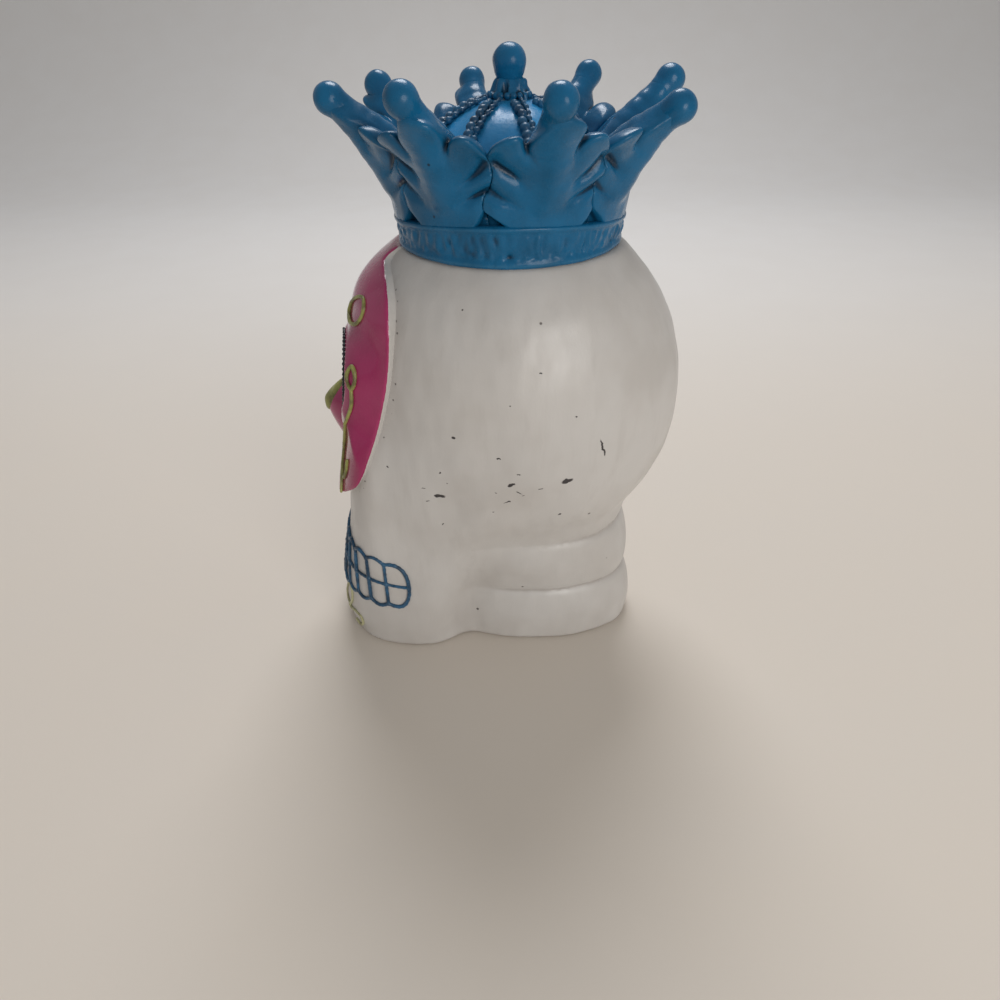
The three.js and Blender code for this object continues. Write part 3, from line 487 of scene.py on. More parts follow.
def head(x, y, z):
    cranium = egg((x, y, z), CRANIUM_AT, CRANIUM_HALF)
    shoulder = norm((x, y, z - SHOULDER_Z)) - SHOULDER_RADIUS
    dome = blend(cranium, shoulder, SHOULDER_BLEND)
    cheek = egg((np.abs(x), y, z), CHEEK_AT, CHEEK_HALF)
    return blend(blend(dome, jaw(x, y, z), JAW_BLEND), cheek, CHEEK_BLEND)


def neck(x, y, z):
    roll = ROLL_DEPTH * np.abs(np.sin(math.pi * z / ROLL_HEIGHT))
    flare = NECK_FLARE * smoothstep(z, ROLL_HEIGHT, 2 * ROLL_HEIGHT)
    half = (NECK_WIDTH - ROLL_DEPTH) / 2 + flare + roll
    back = NECK_BACK - ROLL_DEPTH / 2 - NECK_LEAN * z + roll
    behind = oval(x, y, half, back, NECK_ROUND)
    before = oval(x, y, half, NECK_FRONT, NECK_ROUND)
    return np.maximum(np.where(y > 0, behind, before), z - NECK_TOP)


def neck_crease(y, z):
    """How deep the creases between the rolls of the neck are, from 0 to 1"""
    deepest = 0.0
    for height, span in CREASE_ROWS:
        depth = np.exp(-(np.abs(z - height) / CREASE_HALF_WIDTH) ** CREASE_POWER)
        deepest = np.maximum(deepest, depth * smoothstep(y, *span))
    return deepest


def mask_lift(z):
    return along(MASK_LIFT_ROWS, z, 1)


def cast(origins, directions, lift):
    """Points at a given lift above the head, on lines from inside it"""
    near = np.zeros(len(origins))
    far = np.full(len(origins), REACH)
    for _ in range(HALVINGS):
        middle = (near + far) / 2
        spots = origins + directions * middle[:, None]
        inside = head(*spots.T) < lift
        near = np.where(inside, middle, near)
        far = np.where(inside, far, middle)
    return origins + directions * near[:, None]


def cast_round(turn, heights, start_y, lift):
    """Points on the head in level directions, turned from the front about a place inside it"""
    none = np.zeros_like(turn)
    origins = np.stack([none, none + start_y, heights], axis=1)
    directions = np.stack([np.sin(turn), -np.cos(turn), none], axis=1)
    return cast(origins, directions, lift)


def on_face(x, z, lift):
    """The point of the face straight ahead of a place inside it"""
    return cast(np.array([[x, JAW_MID_Y / 2, z]]), np.array([[0.0, -1.0, 0.0]]), lift)[0]


def camera_axes():
    """The ways to the right, up and ahead of the camera"""
    ahead = unit(math.cos(CAMERA_PITCH) * CAMERA_HEADING - math.sin(CAMERA_PITCH) * UP)
    right = unit(np.cross(ahead, UP))
    return *spun(right, np.cross(right, ahead), CAMERA_ROLL), ahead


def from_pixel(px, py):
    """Where the line of sight through a pixel meets the skull"""
    right, above, ahead = camera_axes()
    middle = IMAGE_SIZE / 2
    line = ahead + right * (px - middle) / FOCAL_PIXELS - above * (py - middle) / FOCAL_PIXELS
    spots = CAMERA_AT + SIGHT_STEPS[:, None] * unit(line)
    return spots[np.argmax(skull_field(*spots.T) < 0)]


# Meshes from distance fields
def quads_of(values):
    grid = openvdb.FloatGrid(10.0)
    grid.copyFromArray(np.ascontiguousarray(values, dtype=np.float32))
    points, quads = grid.convertToQuads(0.0)
    points = np.asarray(points, float)
    quads = np.asarray(quads)
    a, b, c, d = (points[quads[:, i]] for i in range(4))
    volume = np.einsum("ij,ij->", np.cross(c - a, d - b), a)
    return points, quads if volume > 0 else quads[:, ::-1]


def slopes(points, field, step=0.03):
    shifts = step * np.eye(3)
    rises = [field(*(points + shift).T) - field(*(points - shift).T) for shift in shifts]
    return np.stack(rises, axis=1) / (2 * step)


def grid_axes(low, high, cell):
    return [np.arange(a, b + cell, cell) for a, b in zip(low, high)]


def sculpt(field, low, high, cell):
    """Points and faces of a field, drawn on to its true surface, with the outward way at each point"""
    axes = grid_axes(low, high, cell)
    x, y, z = np.meshgrid(*axes, indexing="ij", sparse=True)
    values = np.broadcast_to(field(x, y, z), [len(axis) for axis in axes])
    points, quads = quads_of(np.clip(values, -8, 8))
    points = np.array(low) + points * cell
    for _ in range(2):
        way = slopes(points, field)
        size = np.maximum((way ** 2).sum(axis=1), 0.1)
        move = np.clip(field(*points.T) / size, -cell / 2, cell / 2)
        points = points - way * move[:, None]
    way = slopes(points, field)
    way /= np.maximum(np.linalg.norm(way, axis=1, keepdims=True), TINY)
    return points, quads, way


def hollows(points, way, field, reach):
    """How deep each point lies in a hollow, or with a reach below 0 on an edge, from 0 on a flat to 1"""
    room = field(*(points + way * reach).T) / reach
    return np.clip(1 - room, 0, 1)


def shade_and_wear_marks(points, way, field, hollow_reach, edge_share, edge_reach):
    """Marks for the painted shade in the hollows and the wear on the edges of an enamel"""
    return {
        "hollow": hollows(points, way, field, hollow_reach),
        "edge": edge_share * hollows(points, way, field, -edge_reach),
    }


def strand_quads(lines, cell, soft):
    """Joined round lines. Each line is a list of points and a list of radii."""
    margin = 4 * cell
    every = np.concatenate([points for points, _ in lines])
    thick = max(max(radii) for _, radii in lines)
    low = every.min(axis=0) - thick - margin
    axes = grid_axes(low, every.max(axis=0) + thick + margin, cell)
    values = np.full([len(axis) for axis in axes], 3.0)
    for points, radii in lines:
        for i in range(max(len(points) - 1, 1)):
            j = min(i + 1, len(points) - 1)
            pad = max(radii[i], radii[j]) + soft + margin
            first = np.minimum(points[i], points[j]) - pad
            last = np.maximum(points[i], points[j]) + pad
            window = tuple(slice(*np.searchsorted(axis, ends)) for axis, *ends in zip(axes, first, last))
            near = (axis[part] for axis, part in zip(axes, window))
            place = np.meshgrid(*near, indexing="ij", sparse=True)
            stretch = round_cone(place, points[i], points[j], radii[i], radii[j])
            values[window] = blend(values[window], stretch, soft)
    points, quads = quads_of(values)
    return low + points * cell, quads


def make_object(name, points, faces, material, marks):
    mesh = bpy.data.meshes.new(name)
    mesh.from_pydata(np.asarray(points).tolist(), [], [tuple(map(int, face)) for face in faces])
    mesh.polygons.foreach_set("use_smooth", np.ones(len(mesh.polygons), dtype=bool))
    for key, values in marks.items():
        layer = mesh.attributes.new(key, "FLOAT", "POINT")
        layer.data.foreach_set("value", np.asarray(values, dtype=np.float32))
    mesh.materials.append(material)
    mesh.validate()
    made = bpy.data.objects.new(name, mesh)
    bpy.context.scene.collection.objects.link(made)
    return made


def make_piece(name, points, faces, nodes, material, marks=None):
    piece = make_object(name, points * METRES, faces, material, marks or {})
    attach(piece, "root")
    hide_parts(*nodes)


def make_piping(name, lines, grid, node, material):
    points, quads = strand_quads(lines, *grid)
    make_piece(name, points, quads, [node], material)


def turned(points, angle):
    x, y, z = points.T
    return np.stack([*spun(x, y, -angle), z], axis=1)


def ring_angles(sides):
    return np.linspace(0, 2 * math.pi, sides, endpoint=False)


def ring_surface(radius, height):
    """A skin of rings about the axis, from the radius and the height of each ring at each angle"""
    count, sides = radius.shape
    angles = ring_angles(sides)
    points = np.stack([radius * np.cos(angles), radius * np.sin(angles), height], axis=2)
    here = np.arange(count * sides).reshape(count, sides)
    beside = np.roll(here, -1, axis=1)
    faces = np.stack([here[:-1], beside[:-1], beside[1:], here[1:]], axis=2)
    return points.reshape(-1, 3), faces.reshape(-1, 4)


# Materials
class Finish:
    """A material with short ways to add nodes"""

    def __init__(self, name, colour):
        self.colour = (*colour, 1.0)
        self.material = bpy.data.materials.new(name)
        self.material.use_nodes = True
        self.tree = self.material.node_tree
        self.shader = self.tree.nodes["Principled BSDF"]
        self.place = self.add("ShaderNodeTexCoord", {}).outputs["Object"]

    def add(self, kind, inputs, **settings):
        node = self.tree.nodes.new(kind)
        for key, value in settings.items():
            setattr(node, key, value)
        self.feed(node, inputs)
        return node

    def feed(self, node, inputs):
        """Give each input of a node, by name or number, its value or its link"""
        for key, value in inputs.items():
            if isinstance(value, bpy.types.NodeSocket):
                self.tree.links.new(value, node.inputs[key])
            else:
                node.inputs[key].default_value = value

    def noise(self, scale, detail=3.0, rough=0.5, stretch=None):
        place = self.place
        if stretch:
            mapping = self.add("ShaderNodeMapping", {"Scale": stretch, "Vector": place})
            place = mapping.outputs["Vector"]
        inputs = {"Vector": place, "Scale": scale, "Detail": detail, "Roughness": rough}
        return self.add("ShaderNodeTexNoise", inputs).outputs["Fac"]

    def spots(self, scale, radius, share):
        """Small round marks on a share of the cells of a scattered pattern"""
        cells = self.add("ShaderNodeTexVoronoi", {"Vector": self.place, "Scale": scale})
        near = self.span(cells.outputs["Distance"], radius, radius * 0.6)
        split = self.add("ShaderNodeSeparateColor", {"Color": cells.outputs["Color"]})
        chosen = self.reckon("LESS_THAN", split.outputs["Red"], share)
        return self.reckon("MULTIPLY", near, chosen)

    def span(self, value, low, high, start=0.0, end=1.0):
        inputs = {"Value": value, "From Min": low, "From Max": high, "To Min": start, "To Max": end}
        return self.add("ShaderNodeMapRange", inputs, interpolation_type="SMOOTHSTEP").outputs["Result"]

    def reckon(self, operation, a, b):
        return self.add("ShaderNodeMath", {0: a, 1: b}, operation=operation).outputs["Value"]

    def lay(self, paint, share):
        """Lay a paint over the colour so far, with a share from 0 to 1"""
        inputs = {"Factor": share, "A": self.colour, "B": (*paint, 1.0)}
        self.colour = self.add("ShaderNodeMix", inputs, data_type="RGBA").outputs["Result"]

    def mark(self, key):
        return self.add("ShaderNodeAttribute", {}, attribute_name=key).outputs["Fac"]

    def bump(self, height, strength, distance):
        inputs = {"Strength": strength, "Distance": distance * METRES, "Height": height}
        return self.add("ShaderNodeBump", inputs).outputs["Normal"]

    def done(self, roughness, normal, **settings):
        self.feed(self.shader, {"Base Color": self.colour, "Roughness": roughness, "Normal": normal})
        self.feed(self.shader, {key.replace("_", " "): value for key, value in settings.items()})
        return self.material


def white_paint(chips):
    f = Finish("white_paint", WHITE)
    streaks = f.noise(260, 4, 0.6, (1.0, 1.0, 0.16))
    clouds = f.noise(45, 3, 0.55)
    grain = f.noise(1500, 2, 0.5)
    seam = f.mark("seam")
    grit = f.reckon("MULTIPLY", f.spots(900, 0.3, 0.3), f.span(seam, 0.25, 0.7))
    specks = f.reckon("MAXIMUM", f.spots(300, 0.14, 0.03), grit)
    chip = chip_mask(f, chips)
    f.lay(WHITE_CLOUD, f.span(clouds, 0.35, 0.7))
    f.lay(WHITE_STREAK, f.span(streaks, 0.52, 0.72, 0.0, 0.35))
    # Painted shade: the white darkens in hollows and neck creases
    f.lay(WHITE_HOLLOW_SHADE, f.span(f.mark("hollow"), 0.15, 0.8, 0.0, 0.75))
    f.lay(SOCKET_BLACK, f.span(f.mark("socket"), 0.2, 0.6))
    # Painted shade along the foot of the mask's wall; the grit specks there are dirt
    f.lay(WHITE_SEAM_SHADE, f.span(seam, 0.1, 1.0, 0.0, 0.25))
    f.lay(SPECK_BROWN, specks)
    f.lay(CHIP_GREY, chip)
    roughness = f.span(f.reckon("ADD", streaks, clouds), 0.7, 1.4, 0.3, 0.48)
    height = f.reckon("ADD", f.reckon("MULTIPLY", streaks, 0.6), f.reckon("MULTIPLY", grain, 0.16))
    height = f.reckon("SUBTRACT", height, f.reckon("MULTIPLY", f.reckon("ADD", chip, specks), 0.6))
    return f.done(roughness, f.bump(height, 0.5, 0.25), Specular_IOR_Level=0.5)


def chip_mask(f, chips):
    """Ragged chips at given points of the surface"""
    wobble = f.add("ShaderNodeTexNoise", {"Vector": f.place, "Scale": 900}).outputs["Color"]
    swing = [CHIP_WOBBLE * METRES] * 3
    middle = f.add("ShaderNodeVectorMath", {0: f.place, 1: [s / 2 for s in swing]}, operation="SUBTRACT")
    inputs = {0: wobble, 1: swing, 2: middle.outputs["Vector"]}
    place = f.add("ShaderNodeVectorMath", inputs, operation="MULTIPLY_ADD").outputs["Vector"]
    nearest = None
    for location, rotation, scale in chips:
        inputs = {"Location": location, "Rotation": rotation, "Scale": scale, "Vector": place}
        in_chip = f.add("ShaderNodeMapping", inputs, vector_type="TEXTURE").outputs["Vector"]
        away = f.add("ShaderNodeVectorMath", {0: in_chip}, operation="LENGTH").outputs["Value"]
        nearest = f.reckon("MINIMUM", nearest, away) if nearest else away
    return f.span(nearest, 1.1, 0.8)


def blue_enamel(name, base, deep, worn):
    f = Finish(name, base)
    clouds = f.noise(120, 3, 0.55)
    grain = f.noise(700, 3, 0.6)
    wear = f.reckon("ADD", f.mark("edge"), f.reckon("MULTIPLY", grain, 0.35))
    f.lay([0.72 * c for c in base], f.span(clouds, 0.3, 0.75))
    f.lay(worn, f.span(wear, 0.55, 1.0, 0.0, 0.3))
    # Painted shade: darker in hollows, slits and dents
    f.lay(deep, f.span(f.mark("hollow"), 0.2, 0.8))
    f.lay(deep, f.spots(420, 0.16, 0.03))
    roughness = f.span(f.reckon("ADD", clouds, grain), 0.7, 1.35, 0.2, 0.36)
    height = f.reckon("ADD", clouds, f.reckon("MULTIPLY", grain, 0.4))
    shine = {"Specular_IOR_Level": 0.22, "Coat_Weight": 0.1, "Coat_Roughness": 0.12}
    return f.done(roughness, f.bump(height, 0.5, 0.35), **shine)


def magenta_enamel():
    f = Finish("magenta_enamel", MAGENTA)
    clouds = f.noise(70, 3, 0.5)
    grain = f.noise(900, 2, 0.5)
    fray = f.reckon("MULTIPLY", f.reckon("SUBTRACT", f.noise(350, 2), 0.5), 0.25)
    f.lay(MAGENTA_CLOUD, f.span(clouds, 0.3, 0.75))
    f.lay(MASK_WALL_WHITE, f.span(f.reckon("ADD", f.mark("wall"), fray), 0.36, 0.46))
    f.lay(MAGENTA_SPECK, f.spots(520, 0.16, 0.02))
    roughness = f.span(f.reckon("ADD", clouds, grain), 0.7, 1.35, 0.2, 0.32)
    height = f.reckon("ADD", clouds, f.reckon("MULTIPLY", grain, 0.06))
    shine = {"Specular_IOR_Level": 0.05, "Coat_Weight": 1.0, "Coat_Roughness": 0.06}
    return f.done(roughness, f.bump(height, 0.3, 0.3), **shine)


def piping(name, light, dark, low_rough, high_rough):
    f = Finish(name, light)
    clouds = f.noise(240, 3, 0.6)
    grain = f.noise(1300, 2, 0.5)
    f.lay(dark, f.span(clouds, 0.38, 0.66))
    roughness = f.span(grain, 0.35, 0.7, low_rough, high_rough)
    height = f.reckon("ADD", clouds, f.reckon("MULTIPLY", grain, 0.4))
    return f.done(roughness, f.bump(height, 0.5, 0.3), Specular_IOR_Level=0.5)


# Skull
def skull_field(x, y, z):
    width = NECK_BLEND + (VALLEY_BLEND - NECK_BLEND) * (1 - smoothstep(y, *VALLEY_SPAN))
    body = blend(head(x, y, z), neck(x, y, z), width)
    for side in (-1, 1):
        across, up, out = in_eye(side, x, y, z)
        body = carve(body, egg((side * x, y, z), SOCKET_AT, SOCKET_HALF), 0.6)
        body = carve(body, np.maximum(eye_rim(across, up), -out - FIT), 0.3)
    body = body + 0.14 * waves(x, y, z, 17, 3) + 0.05 * waves(x, y, z, 6, 4)
    body = body + CREASE_DEPTH * neck_crease(y, z)
    return keep(keep(body, -z, FOOT_ROUND), z - CROWN_SEAT_Z, 1.0)


SOCKET_AT = on_face(EYE_X, EYE_Z, 0)
SOCKET_HALF = (EYE_HALF_WIDTH, SOCKET_DEPTH, EYE_HALF_HEIGHT)


def chip_places():
    """Each chip as the location, rotation and scale of a flat ellipse on the surface"""
    right, above, _ = camera_axes()
    places = []
    for px, py, half_length, half_width, slope in CHIP_ROWS:
        spot = from_pixel(px, py)
        normal = Vector(slopes(spot[None], skull_field)[0]).normalized()
        turn = math.radians(slope)
        level = Vector(right * math.cos(turn) + above * math.sin(turn))
        long_way = (level - normal * level.dot(normal)).normalized()
        basis = Matrix((long_way, normal.cross(long_way), normal)).transposed()
        scale = Vector((half_length, half_width, half_length)) * METRES
        places.append((Vector(spot) * METRES, basis.to_euler(), scale))
    return places


def build_skull():
    points, quads, way = sculpt(skull_field, *SKULL_BOX, SKULL_CELL)
    # Painted shade, from how closed in each point is and from the neck creases
    hollow = 0.5 * (hollows(points, way, skull_field, 1.5) + hollows(points, way, skull_field, 4.0))
    x, y, z = points.T
    inside = -egg((np.abs(x), y, z), SOCKET_AT, SOCKET_HALF)
    # Seam mark: painted shade and grit specks along the foot of the mask's wall
    behind = mask_edge_distance(x, y, z) - WALL_SLOPE * mask_lift(z)
    seam = np.exp(-((behind - 0.5) / 1.1) ** 2)
    marks = {
        "hollow": np.maximum(hollow, 0.6 * neck_crease(y, z)),
        "socket": smoothstep(inside, -1.2, -0.3),
        "seam": seam * smoothstep(z, *MASK_SEAM_START) * (1 - smoothstep(z, *MASK_SEAM_END)),
    }
    make_piece("skull", points, quads, ["skull_casting"], white_paint(chip_places()), marks)


# Mask and nose
def mask_edge_distance(x, y, z):
    """How far a place lies behind the rear edge of the mask"""
    edge = along(MASK_EDGE_ROWS, z, 1)
    step = 0.5
    slant = (along(MASK_EDGE_ROWS, z + step, 1) - along(MASK_EDGE_ROWS, z - step, 1)) / (2 * step)
    behind = (y + edge) / np.sqrt(1 + slant ** 2)
    tip = np.maximum(np.abs(x) - MASK_TIP_HALF_WIDTH, MASK_TIP_Z - z)
    return blend(behind, np.maximum(tip, y), 3.0)


def eye_frame(side):
    """Middle of one eye, and the ways across, up and out of its flat rim"""
    turn = side * EYE_TURN
    across = np.array([math.cos(turn), math.sin(turn), 0.0])
    ahead = np.array([math.sin(turn), -math.cos(turn), 0.0])
    out, up = spun(ahead, UP, EYE_TILT)
    middle = on_face(side * EYE_X, EYE_Z, mask_lift(EYE_Z) - EYE_RIM_SUNK)
    return middle, across, up, out


EYES = {side: eye_frame(side) for side in SIDES.values()}


def in_eye(side, x, y, z):
    """A place measured across, up and out of one eye"""
    middle, *ways = EYES[side]
    deltas = apart((x, y, z), middle)
    return [dot(deltas, way) for way in ways]


def eye_rim(across, up):
    """Distance to the outer edge of the flat rim of an eye"""
    return oval(across, up, EYE_HALF_WIDTH + EYE_RIM_WIDTH, EYE_HALF_HEIGHT + EYE_RIM_WIDTH, 2)


def mask_field(x, y, z):
    lift = head(x, y, z)
    depth = mask_lift(z) - lift
    slope = WALL_SLOPE * (WALL_CHIN_SHARE + (1 - WALL_CHIN_SHARE) * smoothstep(z, *WALL_SLOPE_SPAN))
    behind = mask_edge_distance(x, y, z) - slope * np.maximum(depth, 0)
    body = keep(0.08 * waves(x, y, z, 12, 8) - depth, behind, MASK_ROUND)
    for side in EYES:
        across, up, out = in_eye(side, x, y, z)
        rim = eye_rim(across, up)
        body = blend(body, np.maximum(rim, np.maximum(out, -out - EYE_RIM_DEPTH)), 0.4)
        body = carve(body, np.maximum(rim, -out), 0.5)
        body = carve(body, oval(across, up, EYE_HALF_WIDTH, EYE_HALF_HEIGHT, 2), 0.5)
    body = keep(body, MASK_CHIN_Z - z, MASK_ROUND)
    body = keep(body, z - CROWN_SEAT_Z, 0.5)
    return np.maximum(body, -lift - MASK_SUNK)


def nose_field(extra):
    base = on_face(0, NOSE_Z, mask_lift(NOSE_Z))[1]

    def field(x, y, z):
        forward = (base - y) / (NOSE_RISE + extra)
        drop = (NOSE_Z + forward * NOSE_TIP_LIFT - z) / (NOSE_HALF_HEIGHT + extra)
        wide = np.sqrt((x / (NOSE_HALF_WIDTH + extra)) ** 2 + drop ** 2 + 0.01)
        return 0.6 * NOSE_RISE * (forward - (1.03 - wide ** 1.5))

    return field


def build_mask(enamel):
    points, quads, _ = sculpt(mask_field, *MASK_BOX, MASK_CELL)
    x, y, z = points.T
    wall = np.clip(mask_lift(z) - head(x, y, z), 0, 1)
    wall = wall * smoothstep(mask_edge_distance(x, y, z), -0.8, -0.1)
    for side in EYES:
        across, up, _ = in_eye(side, x, y, z)
        wall = wall * smoothstep(eye_rim(across, up), 0.4, 1.2)
    make_piece("mask", points, quads, ["mask_panel"], enamel, {"wall": wall})


def build_nose(enamel, green):
    whole = nose_field(0)
    front = nose_field(NOSE_CAP_THICKNESS)

    def boss(x, y, z):
        return keep(whole(x, y, z), 1.0 - head(x, y, z), 0.5)

    def cap(x, y, z):
        shape = oval(x, z - NOSE_CAP_Z, NOSE_CAP_HALF_WIDTH, NOSE_CAP_HALF_HEIGHT, 2)
        body = keep(front(x, y, z) + 0.07 * waves(x, y, z, 5, 12), shape, 0.9)
        return np.maximum(body, -0.3 - whole(x, y, z))

    points, quads, _ = sculpt(boss, *NOSE_BOX, NOSE_CELL)
    make_piece("nose", points, quads, ["nose_boss"], enamel)
    points, quads, _ = sculpt(cap, *NOSE_BOX, NOSE_CAP_CELL)
    make_piece("nose_front", points, quads, ["nose_cap"], green)


# Piped lines
def curve(points, closed, steps):
    """Smooth curve through points that may be unevenly spaced"""
    p = np.asarray(points, float)
    if closed:
        p = np.concatenate([p[-1:], p, p[:2]])
    else:
        p = np.concatenate([2 * p[:1] - p[1:2], p, 2 * p[-1:] - p[-2:-1]])
    out = []
    for i in range(1, len(p) - 2):
        a, b, c, d = p[i - 1:i + 3]
        before, span, after = (math.sqrt(np.linalg.norm(gap)) for gap in (b - a, c - b, d - c))
        start = c - b + span * ((b - a) / before - (c - a) / (before + span))
        end = c - b + span * ((d - c) / after - (d - b) / (span + after))
        for t in np.arange(steps) / steps:
            bend = (3 * (c - b) - 2 * start - end) * t ** 2 + (2 * (b - c) + start + end) * t ** 3
            out.append(b + start * t + bend)
    out.append(p[-2])
    return np.array(out)


def hand_radii(count, radius, seed, spread=0.1):
    """Radii of a hand-squeezed line"""
    pick = np.random.default_rng(seed)
    window = 7
    rough = pick.normal(size=count + window - 1)
    soft = np.convolve(rough, np.ones(window) / window, mode="valid")
    return radius * (1 + spread * np.clip(soft * 2, -1.5, 1.5))


def head_line(points, side, seat, closed, seed, radius=PIPING_RADIUS):
    stations = curve(points, closed, steps=8)
    turn = side * stations[:, 0] / WRAP_RADIUS
    heights = stations[:, 1]
    spots = cast_round(turn, heights, JAW_MID_Y / 2, seat(heights) + LINE_RISE * radius)
    return spots, hand_radii(len(spots), radius, seed)


def bare(heights):
    return np.zeros_like(heights)


def build_scrolls(green, pale):
    for label, side in SIDES.items():
        brow = [head_line(BROW_LOOP, side, mask_lift, closed=True, seed=21)]
        vine = [
            head_line(VINE_DROP, side, mask_lift, closed=True, seed=22),
            head_line(VINE_STEM, side, mask_lift, closed=False, seed=23),
            head_line(VINE_TAIL, side, mask_lift, closed=False, seed=26),
        ]
        chin = [
            head_line(CHIN_DROP, side, bare, closed=True, seed=24, radius=CHIN_RADIUS),
            head_line(CHIN_HOOK, side, bare, closed=False, seed=25, radius=CHIN_RADIUS),
        ]
        make_piping("brow_" + label, brow, SCROLL_GRID, "brow_scroll_" + label, green)
        make_piping("vine_" + label, vine, SCROLL_GRID, "cheek_vine_" + label, green)
        make_piping("chin_" + label, chin, SCROLL_GRID, "chin_scroll_" + label, pale)


def build_eyes(navy):
    for label, side in SIDES.items():
        middle, across, up, out = EYES[side]
        angles = ring_angles(EYE_BEADS)[:, None]
        wide = EYE_HALF_WIDTH + EYE_RIM_WIDTH / 2
        high = EYE_HALF_HEIGHT + EYE_RIM_WIDTH / 2
        spots = middle + wide * np.cos(angles) * across + high * np.sin(angles) * up
        spots = spots + LINE_RISE * EYE_BEAD_RADIUS * out
        lines = beads(spots, hand_radii(EYE_BEADS, EYE_BEAD_RADIUS, 31))
        ring = np.concatenate([spots, spots[:1]])
        lines.append((ring, np.full(len(ring), EYE_STRING_RADIUS)))
        make_piping("eye_beads_" + label, lines, EYE_GRID, "eye_ring_" + label, navy)


def beads(spots, radii):
    return [(spot[None], [radius]) for spot, radius in zip(spots, radii)]


def tooth_table():
    """Lengths along the jaw from the front, and the angles there"""
    angles = np.linspace(0, 0.75 * math.pi, 97)
    spots = cast_round(angles, 0 * angles + TEETH_Z, JAW_MID_Y, 0)
    lengths = np.concatenate([[0], np.cumsum(np.linalg.norm(np.diff(spots, axis=0), axis=1))])
    return lengths, angles


def jaw_line(stations, radius, seed):
    stations = np.asarray(stations, float)
    lengths, angles = tooth_table()
    turn = np.sign(stations[:, 0]) * np.interp(np.abs(stations[:, 0]), lengths, angles)
    end = TOOTH_COLUMNS * TOOTH_PITCH + END_TOOTH_LENGTH
    droop = TEETH_DROOP * smoothstep(np.abs(stations[:, 0]), DROOP_START, end)
    spots = cast_round(turn, stations[:, 1] - droop, JAW_MID_Y, LINE_RISE * radius)
    return spots, hand_radii(len(spots), radius, seed)


def build_teeth(teal):
    end = TOOTH_COLUMNS * TOOTH_PITCH
    outline = []
    blobs = []
    for side in (1, -1):
        for distance in np.linspace(side * end, -side * end, 12 * TOOTH_COLUMNS + 1):
            arch = abs(math.sin(math.pi * distance / TOOTH_PITCH))
            outline.append((distance, TEETH_Z + side * (TEETH_HEIGHT / 2 + TOOTH_SCALLOP * arch)))
        for angle in np.linspace(0, math.pi, 15)[1:-1]:
            c = math.cos(angle)
            reach = end + END_TOOTH_LENGTH * math.sin(angle) ** END_ROUND
            height = TEETH_HEIGHT / 2 * math.copysign(abs(c) ** END_ROUND, c)
            outline.append((-side * reach, TEETH_Z + side * (height + TOOTH_SCALLOP * math.sin(2 * angle))))
    outline.append(outline[0])
    lines = [jaw_line(outline, TOOTH_LINE_RADIUS, 41)]
    for k in range(-TOOTH_COLUMNS, TOOTH_COLUMNS + 1):
        heights = np.linspace(TEETH_Z - TEETH_HEIGHT / 2, TEETH_Z + TEETH_HEIGHT / 2, 9)
        lines.append(jaw_line([(k * TOOTH_PITCH, z) for z in heights], TOOTH_UPRIGHT_RADIUS, 50 + k))
        for z in (heights[0], heights[4], heights[-1]):
            blobs.append((k * TOOTH_PITCH, z))
    reach = end + END_TOOTH_LENGTH
    middle = [(distance, TEETH_Z) for distance in np.linspace(-reach, reach, 61)]
    lines.append(jaw_line(middle, TOOTH_MIDDLE_RADIUS, 42))
    lines.extend(beads(*jaw_line(blobs, TOOTH_CROSSING_RADIUS, 43)))
    make_piping("teeth", lines, TEETH_GRID, "teeth_piping", teal)


# Crown
def band_rise(angles):
    return np.maximum(np.cos(angles - BAND_RISE_AT), 0) ** 2


def band_dents(angles, share):
    """Each dent of the band, from 0 outside it to 1 in its middle"""
    pick = np.random.default_rng(61)
    for _ in range(DENTS):
        angle, at, size = (pick.uniform(*span) for span in DENT_SPANS)
        gap = np.abs((angles - angle + math.pi) % (2 * math.pi) - math.pi) * BAND_RADIUS
        yield np.exp(-1.5 * (np.hypot(gap, (share - at) * BAND_HEIGHT) / size) ** 2)


def build_band(blue):
    angles = ring_angles(BAND_SIDES)
    share, lip = (column[:, None] for column in np.array(BAND_PROFILE).T)
    u = angles * BAND_RADIUS + 0 * share
    v = share * BAND_HEIGHT + 0 * u
    strokes = np.sin(3.1 * u + 1.6 * np.sin(0.6 * u) + 0.9 * np.sin(1.7 * v + 0.9 * u))
    patches = np.clip(0.5 + 0.5 * waves(u, v, 0, 9, 64), 0, 1)
    relief = FRIEZE_DEPTH * (0.6 * strokes * patches + 0.6 * waves(u, v, 0, 2.6, 62))
    dark = 0.0
    for dent in band_dents(angles, share):
        relief = relief - DENT_DEPTH * dent
        dark = np.maximum(dark, dent)
    frieze = smoothstep(share, 0.22, 0.32) * (1 - smoothstep(share, 0.74, 0.84))
    offset = frieze * relief + 0.07 * waves(u, v, 0, 5, 63)
    tall = band_rise(angles)
    high = smoothstep(share, 0.45, 0.9)
    low = 1 - smoothstep(share, 0.0, 0.4)
    radius = BAND_RADIUS + BAND_FLARE * share + BAND_LIP * lip + offset + BAND_SWELL * tall * high
    height = BAND_Z + BAND_HEIGHT * share + tall * (BAND_RISE * high - BAND_DROP * low)
    # Painted shade in the sunk parts of the frieze and in the dents
    hollow = frieze * np.maximum(np.clip(-1.2 * relief, 0, 1), 0.5 * dark)
    edge = 0 * u + 0.6 * smoothstep(lip, -0.3, 0.0)
    flat = 0 * angles

    def closed(rings, inner_top, inner_foot):
        """The outer rings, the two rings of the inner wall, and the first ring again"""
        return np.concatenate([rings, [inner_top, inner_foot], rings[:1]])

    radius = closed(radius, flat + BAND_INNER_RADIUS, flat + BAND_INNER_RADIUS)
    height = closed(height, BAND_TOP_Z + BAND_RISE * tall, flat + BAND_Z)
    points, faces = ring_surface(radius, height)
    marks = {"hollow": closed(hollow, flat, flat).ravel(), "edge": closed(edge, flat, flat).ravel()}
    make_piece("band", points, faces, ["crown_band"], blue, marks)


